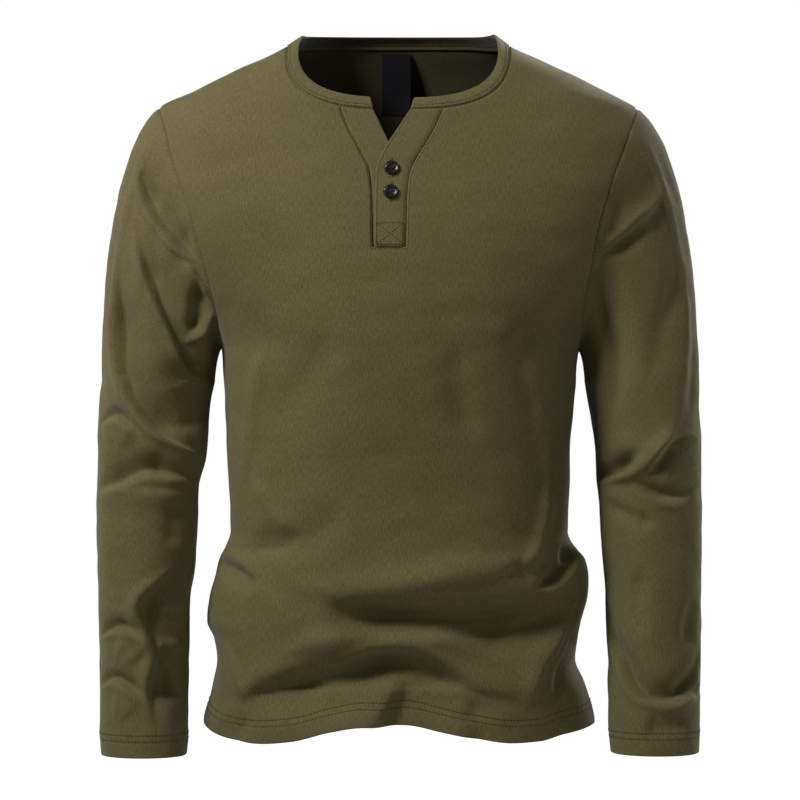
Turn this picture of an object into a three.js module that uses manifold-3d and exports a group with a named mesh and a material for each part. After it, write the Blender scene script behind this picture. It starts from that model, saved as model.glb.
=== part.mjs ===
import * as THREE from "three";
import Module from "manifold-3d";

// A long-sleeved henley shirt in cotton knit, filled out as it is when worn, with nobody inside.
// Millimetres. The origin lies midway between the shoulders, level with the top of the shoulder seams.
// +X is the wearer's left, -Y the front, +Z up.

// Cloth
const CLOTH = 1.5; // one layer of knit
const TURNED = 2.1; // the hem and the cuffs, turned up inside
const DOUBLE = 2.2; // the neckband and the plackets, two layers each
const SEAM = 0.3; // gap between two pieces that are sewn together
const HEM_STEPS = [0, 11.5, 23, 25]; // heights above the edge, the turned-up hem ending at 23
const CUFF_STEPS = [0, 10, 20, 22];

// Heights of the body
const ARMPIT_Z = -308;
const SHOULDER_Z = -62;
const PLACKET_Z = -209; // bottom of the placket
const ROUND = 2.35; // how square the body's section is, 2 being an ellipse

// Neck opening
const NECK = { centre: -2, half: 113, drop: 71, power: 3, backRise: 6 };
const BAND = { height: 15, bend: 0.4, rows: 3 };
const BAND_LEAN = { in: 0.8, front: 0.65, back: 0.55, rise: { side: 0.6, front: 0.76, back: 0.83 } };

// Sleeves
const SLEEVE_ROUND = 2.1;
const CAP_Z = -340; // the first level ring, just below the armpit
const CAP_PULL = 0.7; // how far the sleeve head bows out before it falls
const ARMPIT_LEAN = 0.6;
const BACK_ARMHOLE = 6; // the back armhole lies this much further out than the front one

// Rows and columns of the cut sheets
const LOWER_ROWS = 24;
const UPPER_ROWS = 15;
const PLACKET_ROW = 5; // row above the armpit where the placket starts
const FRONT_COLUMNS = 12; // in each half
const BACK_COLUMNS = 12;
const SHOULDER_COLUMNS = 5;
const CAP_ROWS = 10;
const SLEEVE_ROWS = 30;
const PLACKET_GRID = { columns: 5, rows: UPPER_ROWS - PLACKET_ROW };

// Trims
const BUTTON = { radius: 7.5, thick: 3, rim: 1.4, dish: 0.7, hole: 0.85, spread: 1.5, gap: 0.5 };
const BUTTON_EDGE = { back: 1, front: 0.6, ramp: 0.8, sides: 28, holeSides: 10 };
const LABEL = { left: -19.8, right: 11.4, top: 1.5, bottom: -63.6, thick: 1, swing: 2.5, rows: 4 };
const PLACKET_STEP = 1.3; // each placket lies this far from the panel's own surface

const OLIVE = 0x635b3e;
const BLACK = 0x141414;

const clamp = (value, low, high) => Math.min(high, Math.max(low, value));
const mix = (a, b, t) => a + (b - a) * t;
const power = (value, exponent) => Math.sign(value) * Math.abs(value) ** exponent;
const radians = (degrees) => (degrees * Math.PI) / 180;
const ease = (t) => {
  const k = clamp(t, 0, 1);
  return k * k * (3 - 2 * k);
};

// Rows of numbers as objects with the named columns.
function table(names, rows) {
  const columns = names.split(" ");
  return rows.map((row) => Object.fromEntries(columns.map((name, i) => [name, row[i]])));
}

// A smooth curve with no overshoot through one column of a table.
function track(rows, key, column) {
  const at = rows.map((row) => row[key]);
  const value = rows.map((row) => row[column]);
  const chord = at.slice(1).map((next, i) => (value[i + 1] - value[i]) / (next - at[i]));
  const slope = at.map((_, i) => {
    const before = chord[i - 1] ?? chord[i];
    const after = chord[i] ?? chord[i - 1];
    return before * after <= 0 ? 0 : (2 * before * after) / (before + after);
  });
  return (place) => {
    const k = clamp(place, at[0], at[at.length - 1]);
    let i = 0;
    while (i < at.length - 2 && k > at[i + 1]) i++;
    const span = at[i + 1] - at[i];
    const t = (k - at[i]) / span;
    const start = (1 + 2 * t) * (1 - t) ** 2 * value[i] + t * (1 - t) ** 2 * span * slope[i];
    const end = t * t * (3 - 2 * t) * value[i + 1] + t * t * (t - 1) * span * slope[i + 1];
    return start + end;
  };
}

// Sections of the body: half widths on the wearer's right and left, reach to the front and back.
const BODY = table("z right left front back", [
  [-712, 200, 197, 108, 104],
  [-684, 200, 196, 109, 105],
  [-660, 194, 191, 110, 106],
  [-645, 190, 186, 110, 106],
  [-622, 186, 177.5, 110, 106],
  [-599, 189, 179.5, 110, 105],
  [-583, 196, 183, 108, 104],
  [-560, 193.5, 189, 108, 102],
  [-538, 188, 190.5, 108, 100],
  [-522, 184, 187, 107, 99],
  [-507, 176.5, 174.5, 106, 98],
  [-492, 171.5, 169.5, 106, 97],
  [-446, 173.5, 172.5, 107, 98],
  [-400, 175.5, 173.5, 111, 102],
  [-354, 177.5, 177.5, 117, 108],
  [-323, 179.5, 178.5, 121, 113],
  [-308, 181, 180, 122, 115],
  [-285, 190.5, 189.5, 124, 117],
  [-260, 204, 202.5, 124, 118],
  [-230, 223, 221, 123, 119],
  [-199, 243, 240.5, 120.5, 118],
  [-165, 259, 256, 116, 116],
  [-130, 268, 265, 108, 112],
  [-100, 268, 265, 100, 105.5],
  [-80, 260, 257, 93, 101],
  [-62, 244, 241, 87, 96],
  [-43, 204.5, 204, 80, 90],
  [-24, 166, 164, 74, 84],
  [-12, 138, 137, 70, 79],
  [0, 115, 111, 66, 74],
  [12, 99, 97, 60, 70],
]);

// The armhole seams as seen from the front.
const ARMHOLE = table("z right left", [
  [-308, 181, 180],
  [-279, 182.5, 182.5],
  [-249, 188, 187],
  [-225, 194, 190.5],
  [-203, 200, 194],
  [-181, 206, 198.5],
  [-159, 214, 205],
  [-133, 224, 213],
  [-113, 230, 221],
  [-93, 234.5, 228.5],
  [-62, 244, 241],
]);

// The hem's lower edge round the body, 0 degrees at the centre front and 90 at the wearer's left.
const HEM = table("angle z", [
  [-90, -684],
  [-41, -701],
  [-29, -698],
  [-16.6, -688],
  [-7, -682],
  [0, -682],
  [8.6, -688],
  [19, -695],
  [31.6, -699.5],
  [41.5, -698.5],
  [53, -693],
  [90, -687],
  [135, -692],
  [180, -690],
  [225, -692],
  [270, -684],
]);

// The two plackets: x of each one's seam to the front panel and of its free edge.
const PLACKET = table("z underSeam underEdge overEdge overSeam", [
  [-209, -27, 2, -25.2, 5.9],
  [-161, -28, 2, -24.8, 7],
  [-143, -29.2, 2, -24.3, 8.3],
  [-129, -31.6, 1, -23.2, 12],
  [-113, -39.5, -6, -16.6, 20.9],
  [-103, -44.6, -11, -11, 27],
  [-93, -50, -15.8, -4.3, 32.6],
  [-71, -59.5, -26.2, 9.9, 42.6],
]);

// Rings of the sleeves: inner and outer reach from the middle of the shirt, reach to the front and back.
const SLEEVE = {
  right: table("z inner outer front back", [
    [-719, 215.5, 298, 87, 0],
    [-690, 213, 301, 85, 4],
    [-629, 211.5, 302, 80, 15],
    [-568, 211, 305, 75, 26],
    [-507, 207, 306, 70, 37],
    [-446, 204, 307, 67, 45],
    [-415, 197, 307, 66, 50],
    [-370, 194.5, 306, 66, 56],
    [-340, 188.5, 303.5, 66, 58],
  ]),
  left: table("z inner outer front back", [
    [-719, 213.5, 299.5, 87, 0],
    [-690, 211.5, 300.5, 85, 4],
    [-629, 209.5, 302.5, 80, 15],
    [-568, 208, 303.5, 75, 26],
    [-507, 205, 305, 70, 37],
    [-446, 201.5, 305, 67, 45],
    [-415, 200, 306, 66, 50],
    [-370, 194, 304, 66, 56],
    [-340, 188.5, 303, 66, 58],
  ]),
};
const CUFF_Z = { right: -715, left: -713 };

// Folds. Each runs through marks (x, z) as seen from the front; depth is out of the cloth and width
// is half the fold's breadth. A lip is a small ridge beside the fold, on the given hand of its run.
const fold = (what, depth, width, marks, more = {}) => ({ what, depth, width, marks, ...more });

const FRONT_FOLDS = [
  fold("waist pull right", -7, 13, [[-176, -516], [-136, -506], [-94, -498], [-64, -465]]),
  fold("waist crease right", -6, 8, [[-171, -522], [-143, -544], [-113, -568], [-89, -595]], { lip: 0.5 }),
  fold("waist trough", -13, 17, [[-54, -565], [0, -568], [79, -566], [165, -562]]),
  fold("hip trough right", -13, 13, [[-148, -649], [-81, -615], [-5, -610], [49, -633]]),
  fold("hip trough left", -6, 10, [[49, -633], [89, -643], [118, -633]]),
  fold("waist pull left", -9, 10, [[103, -534], [133, -537], [158, -534], [172, -516]]),
  fold("hip ridge right", 4, 8, [[-177, -610], [-162, -645], [-148, -679]]),
  fold("hip ridge left", 5, 9, [[174, -578], [146, -610], [126, -640], [115, -669]]),
  fold("side dent left", -6, 8, [[178, -587], [173, -627], [179, -668]]),
  fold("hem dent", -5, 10, [[-12, -635], [-24, -654], [-25, -682]]),
  fold("flank ridge right", 4, 10, [[-136, -297], [-141, -334], [-149, -389], [-156, -448]]),
  fold("flank ridge left", 4, 10, [[125, -300], [135, -349], [145, -408], [151, -462]]),
  fold("flank trough left", -4, 16, [[116, -270], [126, -329], [136, -389]]),
  fold("chest drape right", -3, 18, [[-59, -260], [-84, -326], [-113, -364], [-136, -389]]),
  fold("chest drape left", -2.5, 16, [[59, -297], [59, -359], [76, -408]]),
  fold("waist drape left", 4, 11, [[143, -428], [138, -494], [103, -532]]),
  fold("belly swell", 5, 20, [[-100, -548], [0, -543], [100, -532]]),
  fold("hip swell", 5, 16, [[-70, -598], [20, -598], [140, -598]]),
];

const BACK_FOLDS = [
  fold("small of the back", -8, 15, [[-150, -520], [-60, -545], [40, -540], [150, -515]]),
  fold("seat trough", -9, 16, [[-120, -590], [-20, -610], [90, -600], [160, -575]]),
  fold("waist pull right", -5, 12, [[-165, -470], [-110, -490], [-60, -500]]),
  fold("waist pull left", -5, 12, [[165, -480], [120, -500], [60, -512]]),
  fold("seat drape", -4, 11, [[-60, -660], [-50, -625], [-20, -600]]),
  fold("spine", -3, 28, [[0, -80], [0, -200], [0, -330]]),
  fold("blade drape right", -3.5, 14, [[-150, -330], [-120, -400], [-90, -450]]),
  fold("blade drape left", -3.5, 14, [[150, -320], [125, -390], [95, -445]]),
];

const SLEEVE_FOLDS = {
  right: {
    front: [
      fold("shoulder crease", -8, 8, [[-260, -133], [-250, -161], [-228, -193], [-205, -221]], {
        lip: -0.5,
      }),
      fold("upper arm drape", -9, 9, [[-268, -179], [-248, -237], [-226, -287], [-206, -335]]),
      fold("outer drape", -10, 9, [[-282, -221], [-284, -299], [-266, -363], [-200, -415]]),
      fold("armpit pocket", -7, 9, [[-204, -251], [-206, -284], [-207, -297]]),
      fold("armpit ridge", 5, 7, [[-192, -273], [-197, -289], [-207, -302]]),
      fold("elbow crease upper", -5, 8, [[-298, -387], [-282, -374], [-262, -387], [-246, -406]]),
      fold("elbow crease", -9, 9, [[-288, -436], [-260, -433], [-235, -427], [-212, -437]]),
      fold("elbow ridge", 4, 8, [[-297, -451], [-270, -442], [-235, -446], [-208, -452]]),
      fold("forearm drape", -9, 12, [[-228, -534], [-230, -569], [-232, -599]]),
      fold("wrist drape", -6, 11, [[-228, -624], [-228, -649], [-225, -674]]),
      fold("forearm nick", -4, 8, [[-298, -593], [-282, -581], [-260, -591], [-244, -614]]),
      fold("wrist nick", -4, 8, [[-296, -647], [-286, -639], [-268, -649], [-252, -671]]),
    ],
    back: [
      fold("elbow drag", -5, 10, [[-300, -430], [-265, -440], [-225, -432]]),
      fold("elbow drag upper", -5, 9, [[-295, -395], [-260, -410], [-215, -425]]),
      fold("elbow drag lower", -5, 9, [[-290, -470], [-255, -480], [-215, -470]]),
      fold("upper arm drape", -5, 11, [[-270, -150], [-235, -210], [-210, -260]]),
      fold("upper arm sag", -5, 11, [[-290, -250], [-260, -310], [-215, -350]]),
      fold("forearm drag", -5, 10, [[-295, -560], [-270, -600], [-235, -630]]),
      fold("wrist drag", -4, 9, [[-290, -660], [-255, -680], [-225, -670]]),
    ],
  },
  left: {
    front: [
      fold("shoulder crease", -8, 8, [[260, -144], [254, -167], [230, -195], [200, -221]], {
        lip: 0.5,
      }),
      fold("shoulder ridge", 4, 8, [[224, -177], [206, -205]]),
      fold("shoulder trough", -5, 9, [[222, -141], [212, -164], [202, -195]]),
      fold("upper arm drape", -6, 10, [[280, -231], [268, -264], [257, -299]]),
      fold("outer ridge", 6, 8, [[289, -235], [288, -279], [282, -349], [264, -395]]),
      fold("elbow ridge", 6, 8, [[264, -395], [245, -416], [225, -433], [206, -439]]),
      fold("elbow dent", -9, 8, [[207, -429], [215, -431], [230, -424]]),
      fold("elbow crease upper", -6, 8, [[297, -399], [277, -401], [260, -412], [243, -437]]),
      fold("elbow crease", -6, 7, [[232, -453], [255, -452], [280, -453], [297, -445]]),
      fold("forearm loop", -6, 8, [[214, -614], [232, -636], [250, -653], [264, -656], [297, -627]]),
      fold("forearm dent", -5, 8, [[288, -569], [289, -599], [297, -623]]),
    ],
    back: [
      fold("elbow drag", -5, 10, [[298, -440], [262, -452], [222, -440]]),
      fold("elbow drag upper", -4, 9, [[292, -402], [258, -414], [214, -432]]),
      fold("elbow drag lower", -5, 9, [[288, -482], [252, -490], [214, -476]]),
      fold("upper arm drape", -5, 11, [[272, -160], [238, -216], [210, -268]]),
      fold("upper arm sag", -4, 11, [[288, -262], [256, -322], [216, -356]]),
      fold("forearm drag", -5, 10, [[292, -548], [266, -590], [232, -616]]),
      fold("wrist drag", -4, 9, [[288, -652], [256, -672], [226, -664]]),
    ],
  },
};

// The body's form: a point for an angle round it and a height, before the folds.
const bodyTrack = {
  right: track(BODY, "z", "right"),
  left: track(BODY, "z", "left"),
  front: track(BODY, "z", "front"),
  back: track(BODY, "z", "back"),
};
const reachX = (x, z) => (x < 0 ? bodyTrack.right(z) : bodyTrack.left(z));

function bodyForm(angle, z) {
  const s = Math.sin(angle);
  const c = Math.cos(angle);
  const depth = c > 0 ? bodyTrack.front(z) : bodyTrack.back(z);
  return new THREE.Vector3(reachX(s, z) * power(s, 2 / ROUND), -depth * power(c, 2 / ROUND), z);
}

// The angle from the centre front at which the form lies at x, at most a right angle.
function frontAngle(x, z) {
  return Math.sign(x) * Math.asin(Math.min(1, Math.abs(x) / reachX(x, z)) ** (ROUND / 2));
}

// The direction out of a surface, from points close by.
function facing(surface, u, v, stepU, stepV, flip) {
  const across = surface(u + stepU, v).sub(surface(u - stepU, v));
  const along = surface(u, v + stepV).sub(surface(u, v - stepV));
  return across.cross(along).normalize().multiplyScalar(flip);
}

// A fold laid on a form as a line of points: place gives the form's two parameters for a mark.
const FOLD_STEPS = 24;
function laidFold(surface, place, line) {
  const flat = line.marks.map(([x, z]) => new THREE.Vector2(...place(x, z)));
  const spline = new THREE.SplineCurve(flat);
  const points = [];
  for (let i = 0; i <= FOLD_STEPS; i++) {
    const at = spline.getPoint(i / FOLD_STEPS);
    points.push(surface(at.x, at.y));
  }
  const box = new THREE.Box3().setFromPoints(points).expandByScalar(4 * line.width);
  return { ...line, points, box };
}

// How far all the folds together move a point out of the cloth.
const LIP_AT = 1.6;
const LIP_WIDTH = 0.9;
const FOLD_FADE = 0.3;
function push(folds, point, normal) {
  let total = 0;
  const run = new THREE.Vector3();
  const off = new THREE.Vector3();
  for (const line of folds) {
    if (!line.box.containsPoint(point)) continue;
    let nearest = Infinity;
    let along = 0;
    let hand = 1;
    for (let i = 0; i < FOLD_STEPS; i++) {
      run.subVectors(line.points[i + 1], line.points[i]);
      off.subVectors(point, line.points[i]);
      const t = clamp(off.dot(run) / run.lengthSq(), 0, 1);
      off.addScaledVector(run, -t);
      if (off.lengthSq() >= nearest) continue;
      nearest = off.lengthSq();
      along = (i + t) / FOLD_STEPS;
      hand = Math.sign(run.cross(off).dot(normal)) || 1;
    }
    const s = Math.sqrt(nearest) / line.width;
    const lip = line.lip ?? 0;
    const beside = (hand * Math.sign(lip) * s - LIP_AT) / LIP_WIDTH;
    const shape = Math.exp(-s * s) - Math.abs(lip) * Math.exp(-beside * beside);
    total += line.depth * shape * ease(along / FOLD_FADE) * ease((1 - along) / FOLD_FADE);
  }
  return total;
}

const formFacing = (angle, z) => facing(bodyForm, angle, z, 0.01, 1, 1);
const bodyFolds = [
  ...FRONT_FOLDS.map((line) => laidFold(bodyForm, (x, z) => [frontAngle(x, z), z], line)),
  ...BACK_FOLDS.map((line) => laidFold(bodyForm, (x, z) => [Math.PI - frontAngle(x, z), z], line)),
];

// The body's folded surface.
function body(angle, z) {
  const point = bodyForm(angle, z);
  const normal = formFacing(angle, z);
  return point.addScaledVector(normal, push(bodyFolds, point, normal));
}
const bodyFacing = (angle, z) => facing(body, angle, z, 0.01, 1, 1);

// Lines on the body.
const hemTrack = track(HEM, "angle", "z");
const hemZ = (angle) => {
  const degrees = (angle * 180) / Math.PI;
  return hemTrack(degrees < -90 ? degrees + 360 : degrees);
};
const armholeTrack = { right: track(ARMHOLE, "z", "right"), left: track(ARMHOLE, "z", "left") };
const armholeZ = (q) => mix(ARMPIT_Z, SHOULDER_Z, (1 - Math.cos(Math.PI * q)) / 2);
const placketTrack = Object.fromEntries(
  ["underSeam", "underEdge", "overEdge", "overSeam"].map((name) => [name, track(PLACKET, "z", name)]),
);

// An angle measured from the centre front or back toward one side, as an angle round the body.
const round = (lean, side, face) => (face === "front" ? side * lean : side * (Math.PI - lean));

// The lean of a panel's side edge, half a seam gap short of the seam.
function sideLean(z, face) {
  return Math.PI / 2 - (SEAM / 2 / bodyTrack[face](z)) ** (ROUND / 2);
}

function armholeLean(q, side, face) {
  const z = armholeZ(q);
  const out = face === "back" ? BACK_ARMHOLE * Math.sin(Math.PI * q) : 0;
  const x = armholeTrack[side < 0 ? "right" : "left"](z) + out;
  return Math.abs(frontAngle(side * x, z));
}

// Where the front neck seam lies: its half breadth on one side at a height, and its height at x.
function neckReach(side, z) {
  return NECK.half * (1 - (-z / NECK.drop) ** NECK.power) ** (1 / NECK.power) + side * NECK.centre;
}
const neckZ = (x) => {
  const share = Math.min(1, Math.abs(x - NECK.centre) / NECK.half);
  return -NECK.drop * (1 - share ** NECK.power) ** (1 / NECK.power);
};
const neckTurn = (x) => (frontAngle(x, neckZ(x)) * 180) / Math.PI;

// The neck seam by a turn in degrees: 0 centre front, 90 the wearer's left, 180 centre back.
const HALVINGS = 30;
function neckSeam(turn) {
  const angle = radians(turn);
  const s = Math.sin(angle);
  if (Math.cos(angle) < 0) return { angle, z: NECK.backRise * ease(-Math.cos(angle)) };
  const side = Math.sign(s) || 1;
  let [low, high] = [-NECK.drop, 0];
  for (let k = 0; k < HALVINGS; k++) {
    const z = (low + high) / 2;
    if (reachX(side, z) * Math.abs(s) ** (2 / ROUND) > neckReach(side, z)) low = z;
    else high = z;
  }
  return { angle, z: (low + high) / 2 };
}

// Turns that divide a stretch of the neck seam into equal lengths.
const NECK_SAMPLES = 400;
function evenTurns(from, to, count) {
  const turns = [];
  const lengths = [0];
  let last = null;
  for (let i = 0; i <= NECK_SAMPLES; i++) {
    const turn = mix(from, to, i / NECK_SAMPLES);
    const { angle, z } = neckSeam(turn);
    const point = bodyForm(angle, z);
    turns.push(turn);
    if (last) lengths.push(lengths[i - 1] + point.distanceTo(last));
    last = point;
  }
  const result = [];
  let i = 0;
  for (let k = 0; k <= count; k++) {
    const want = (lengths[NECK_SAMPLES] * k) / count;
    while (i < NECK_SAMPLES - 1 && lengths[i + 1] < want) i++;
    const t = (want - lengths[i]) / (lengths[i + 1] - lengths[i]);
    result.push(mix(turns[i], turns[i + 1], t));
  }
  return result;
}

// The turns of one half panel's columns along the neck seam, from the shoulder inward.
function panelTurns(side, face) {
  const seam = placketTrack[side < 0 ? "underSeam" : "overSeam"];
  const inner = face === "front" ? neckTurn(seam(0)) : 180 * side;
  return evenTurns(90 * side, inner, (face === "front" ? FRONT_COLUMNS : BACK_COLUMNS) - SHOULDER_COLUMNS);
}

// A closed wall from a grid of { point, normal, thick }. Cells that skip marks are left out.
function wall(grid, { closed = false, skip = () => false } = {}) {
  const columns = grid[0].length;
  const positions = [];
  for (const row of grid)
    for (const { point, normal, thick } of row)
      for (const way of [1, -1]) positions.push(point.clone().addScaledVector(normal, (way * thick) / 2));
  const faces = [];
  const edges = new Map();
  const outer = (r, c) => 2 * (r * columns + (c % columns));
  const quad = (a, b, c, d) => {
    const short = positions[a].distanceTo(positions[c]) < positions[b].distanceTo(positions[d]);
    if (short) faces.push(a, b, c, a, c, d);
    else faces.push(a, b, d, b, c, d);
  };
  for (let r = 0; r < grid.length - 1; r++)
    for (let c = 0; c < (closed ? columns : columns - 1); c++) {
      if (skip(r, c)) continue;
      const loop = [outer(r, c), outer(r, c + 1), outer(r + 1, c + 1), outer(r + 1, c)];
      quad(...loop);
      quad(...loop.map((i) => i + 1).reverse());
      loop.forEach((from, i) => {
        const to = loop[(i + 1) % 4];
        if (!edges.delete(`${to} ${from}`)) edges.set(`${from} ${to}`, [from, to]);
      });
    }
  for (const [from, to] of edges.values()) quad(to, from, from + 1, to + 1);
  const geometry = new THREE.BufferGeometry().setFromPoints(faces.map((i) => positions[i]));
  if (volume(geometry) < 0) turnOver(geometry);
  geometry.computeVertexNormals();
  return geometry;
}

function volume(geometry) {
  const p = geometry.attributes.position;
  const [a, b, c] = [new THREE.Vector3(), new THREE.Vector3(), new THREE.Vector3()];
  let total = 0;
  for (let i = 0; i < p.count; i += 3) {
    a.fromBufferAttribute(p, i);
    b.fromBufferAttribute(p, i + 1);
    c.fromBufferAttribute(p, i + 2);
    total += a.dot(b.cross(c)) / 6;
  }
  return total;
}

function turnOver(geometry) {
  const p = geometry.attributes.position;
  for (let i = 0; i < p.count; i += 3) {
    const [x, y, z] = [p.getX(i), p.getY(i), p.getZ(i)];
    p.setXYZ(i, p.getX(i + 1), p.getY(i + 1), p.getZ(i + 1));
    p.setXYZ(i + 1, x, y, z);
  }
}

const onBody = (angle, z, thick) => ({ point: body(angle, z), normal: bodyFacing(angle, z), thick });

// Where a row of the lower body lies at an angle, and how thick the cloth is there.
const LOWER_SPACING = 1.2; // rows lie closer toward the hem, where the large folds are
function lowerZ(angle, row) {
  const hem = hemZ(angle);
  const turned = HEM_STEPS.length - 1;
  if (row <= turned) return hem + HEM_STEPS[row];
  const share = ((row - turned) / (LOWER_ROWS - turned)) ** LOWER_SPACING;
  return mix(hem + HEM_STEPS[turned], ARMPIT_Z, share);
}
const hemThick = (row) => (row < HEM_STEPS.length - 1 ? TURNED : CLOTH);

// One half of the front or back panel, t running from the side (0) to the middle (1).
function half(side, face) {
  const columns = face === "front" ? FRONT_COLUMNS : BACK_COLUMNS;
  const shoulder = SHOULDER_COLUMNS;
  const seam = placketTrack[side < 0 ? "underSeam" : "overSeam"];
  const innerLean = (z) => (face === "front" ? Math.abs(frontAngle(seam(z), z)) : 0);
  const turns = panelTurns(side, face);
  const rise = face === "front" ? PLACKET_ROW / UPPER_ROWS : 0;
  const top = [];
  for (let i = 0; i <= columns; i++) {
    if (i <= shoulder) {
      const z = mix(SHOULDER_Z, 0, i / shoulder);
      top.push({ lean: sideLean(z, face), z });
      continue;
    }
    const { angle, z } = neckSeam(turns[i - shoulder]);
    top.push({ lean: face === "front" ? Math.abs(angle) : Math.PI - Math.abs(angle), z });
  }
  const topIn = top[columns];
  const innerZ = (q) => {
    if (face === "back") return mix(ARMPIT_Z, topIn.z, q);
    if (q <= rise) return mix(ARMPIT_Z, PLACKET_Z, q / rise);
    return mix(PLACKET_Z, topIn.z, (q - rise) / (1 - rise));
  };
  return (i, row) => {
    const t = i / columns;
    if (row <= LOWER_ROWS) {
      const lean = mix(sideLean(ARMPIT_Z, face), innerLean(PLACKET_Z), t);
      const angle = round(lean, side, face);
      return { angle, z: lowerZ(angle, row) };
    }
    const q = (row - LOWER_ROWS) / UPPER_ROWS;
    const outLean = Math.min(armholeLean(q, side, face), sideLean(armholeZ(q), face));
    const inLean = mix(innerLean(innerZ(q)), topIn.lean, q >= 1 ? 1 : 0);
    const share = (top[i].lean - topIn.lean) / (top[0].lean - topIn.lean);
    const lean = mix(inLean, outLean, mix(1 - t, share, q ** 3));
    const inGrow = (innerZ(q) - ARMPIT_Z) / (topIn.z - ARMPIT_Z);
    const outGrow = (armholeZ(q) - ARMPIT_Z) / (SHOULDER_Z - ARMPIT_Z);
    const z = ARMPIT_Z + (top[i].z - ARMPIT_Z) * mix(inGrow, outGrow, (1 - t) ** 2);
    return { angle: round(lean, side, face), z };
  };
}

// Front panel: two halves with the placket's notch between them.
function frontPanel() {
  const right = half(-1, "front");
  const left = half(1, "front");
  const notchTop = LOWER_ROWS + PLACKET_ROW;
  const grid = [];
  for (let row = 0; row <= LOWER_ROWS + UPPER_ROWS; row++) {
    const places = [];
    for (let i = 0; i <= FRONT_COLUMNS; i++) places.push(right(i, row));
    const [a, b] = [right(FRONT_COLUMNS, row), left(FRONT_COLUMNS, row)];
    const angle = (a.angle + b.angle) / 2;
    places.push({ angle, z: row <= LOWER_ROWS ? lowerZ(angle, row) : (a.z + b.z) / 2 });
    for (let i = FRONT_COLUMNS; i >= 0; i--) places.push(left(i, row));
    grid.push(places.map((at) => onBody(at.angle, at.z, hemThick(row))));
  }
  const inNotch = (c) => c === FRONT_COLUMNS || c === FRONT_COLUMNS + 1;
  return wall(grid, { skip: (r, c) => r >= notchTop && inNotch(c) });
}

function backPanel() {
  const right = half(-1, "back");
  const left = half(1, "back");
  const grid = [];
  for (let row = 0; row <= LOWER_ROWS + UPPER_ROWS; row++) {
    const places = [];
    for (let i = 0; i <= BACK_COLUMNS; i++) places.push(left(i, row));
    for (let i = BACK_COLUMNS - 1; i >= 0; i--) places.push(right(i, row));
    grid.push(places.map((at) => onBody(at.angle, at.z, hemThick(row))));
  }
  return wall(grid);
}

// A sleeve's form. Turn runs from the armpit (0) by the front to the shoulder (0.5) and back;
// row 0 is the armhole seam, CAP_ROWS the first level ring and SLEEVE_ROWS the cuff.
const LOOP_SAMPLES = 120;
function sleeveForm(name) {
  const side = name === "right" ? -1 : 1;
  const loop = { point: [], out: [], normal: [] };
  const seamAt = (turn) => {
    const face = turn <= 0.5 ? "front" : "back";
    const q = turn <= 0.5 ? 2 * turn : 2 - 2 * turn;
    return { angle: round(armholeLean(q, side, face), side, face), z: armholeZ(q) };
  };
  for (let i = 0; i < LOOP_SAMPLES; i++) {
    const turn = i / LOOP_SAMPLES;
    const near = [turn - 1 / LOOP_SAMPLES, turn + 1 / LOOP_SAMPLES].map((k) => seamAt((k + 1) % 1));
    const run = body(near[1].angle, near[1].z).sub(body(near[0].angle, near[0].z)).normalize();
    const { angle, z } = seamAt(turn);
    const normal = bodyFacing(angle, z);
    const out = run.cross(normal).multiplyScalar(side).normalize();
    loop.normal.push(normal);
    const point = body(angle, z).addScaledVector(out, SEAM);
    out.x += side * ARMPIT_LEAN * Math.max(0, Math.cos(2 * Math.PI * turn)) ** 2;
    loop.point.push(point);
    loop.out.push(out.normalize());
  }
  const curve = (points) => new THREE.CatmullRomCurve3(points, true, "catmullrom", 0.5);
  const start = curve(loop.point);
  const lead = curve(loop.out);
  const ring = Object.fromEntries(
    ["inner", "outer", "front", "back"].map((column) => [column, track(SLEEVE[name], "z", column)]),
  );
  const level = (turn, z) => {
    const c = power(Math.cos(2 * Math.PI * turn), 2 / SLEEVE_ROUND);
    const s = power(Math.sin(2 * Math.PI * turn), 2 / SLEEVE_ROUND);
    const [inner, outer, front, back] = [ring.inner(z), ring.outer(z), ring.front(z), ring.back(z)];
    const x = mix(inner, outer, (1 - c) / 2);
    return new THREE.Vector3(side * x, mix(back, -front, (1 + s) / 2), z);
  };
  const heights = [];
  for (let row = CAP_ROWS; row <= SLEEVE_ROWS; row++) {
    const up = SLEEVE_ROWS - row;
    const turned = CUFF_STEPS.length - 1;
    const low = CUFF_Z[name] + CUFF_STEPS[turned];
    const share = (row - CAP_ROWS) / (SLEEVE_ROWS - turned - CAP_ROWS);
    heights.push(up <= turned ? CUFF_Z[name] + CUFF_STEPS[up] : mix(CAP_Z, low, share));
  }
  const heightAt = (row) => {
    const k = clamp(row - CAP_ROWS, 0, heights.length - 1);
    const i = Math.min(Math.floor(k), heights.length - 2);
    return mix(heights[i], heights[i + 1], k - i);
  };
  const form = (turn, row) => {
    const around = ((turn % 1) + 1) % 1;
    if (row > CAP_ROWS) return level(around, heightAt(row));
    const k = row / CAP_ROWS;
    const from = start.getPoint(around);
    const to = level(around, CAP_Z);
    const pull = CAP_PULL * from.distanceTo(to);
    const down = new THREE.Vector3(0, 0, -1);
    return new THREE.Vector3()
      .addScaledVector(from, (1 + 2 * k) * (1 - k) ** 2)
      .addScaledVector(lead.getPoint(around), k * (1 - k) ** 2 * pull)
      .addScaledVector(to, k * k * (3 - 2 * k))
      .addScaledVector(down, k * k * (k - 1) * pull);
  };
  return { form, seamNormals: loop.normal };
}

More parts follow.
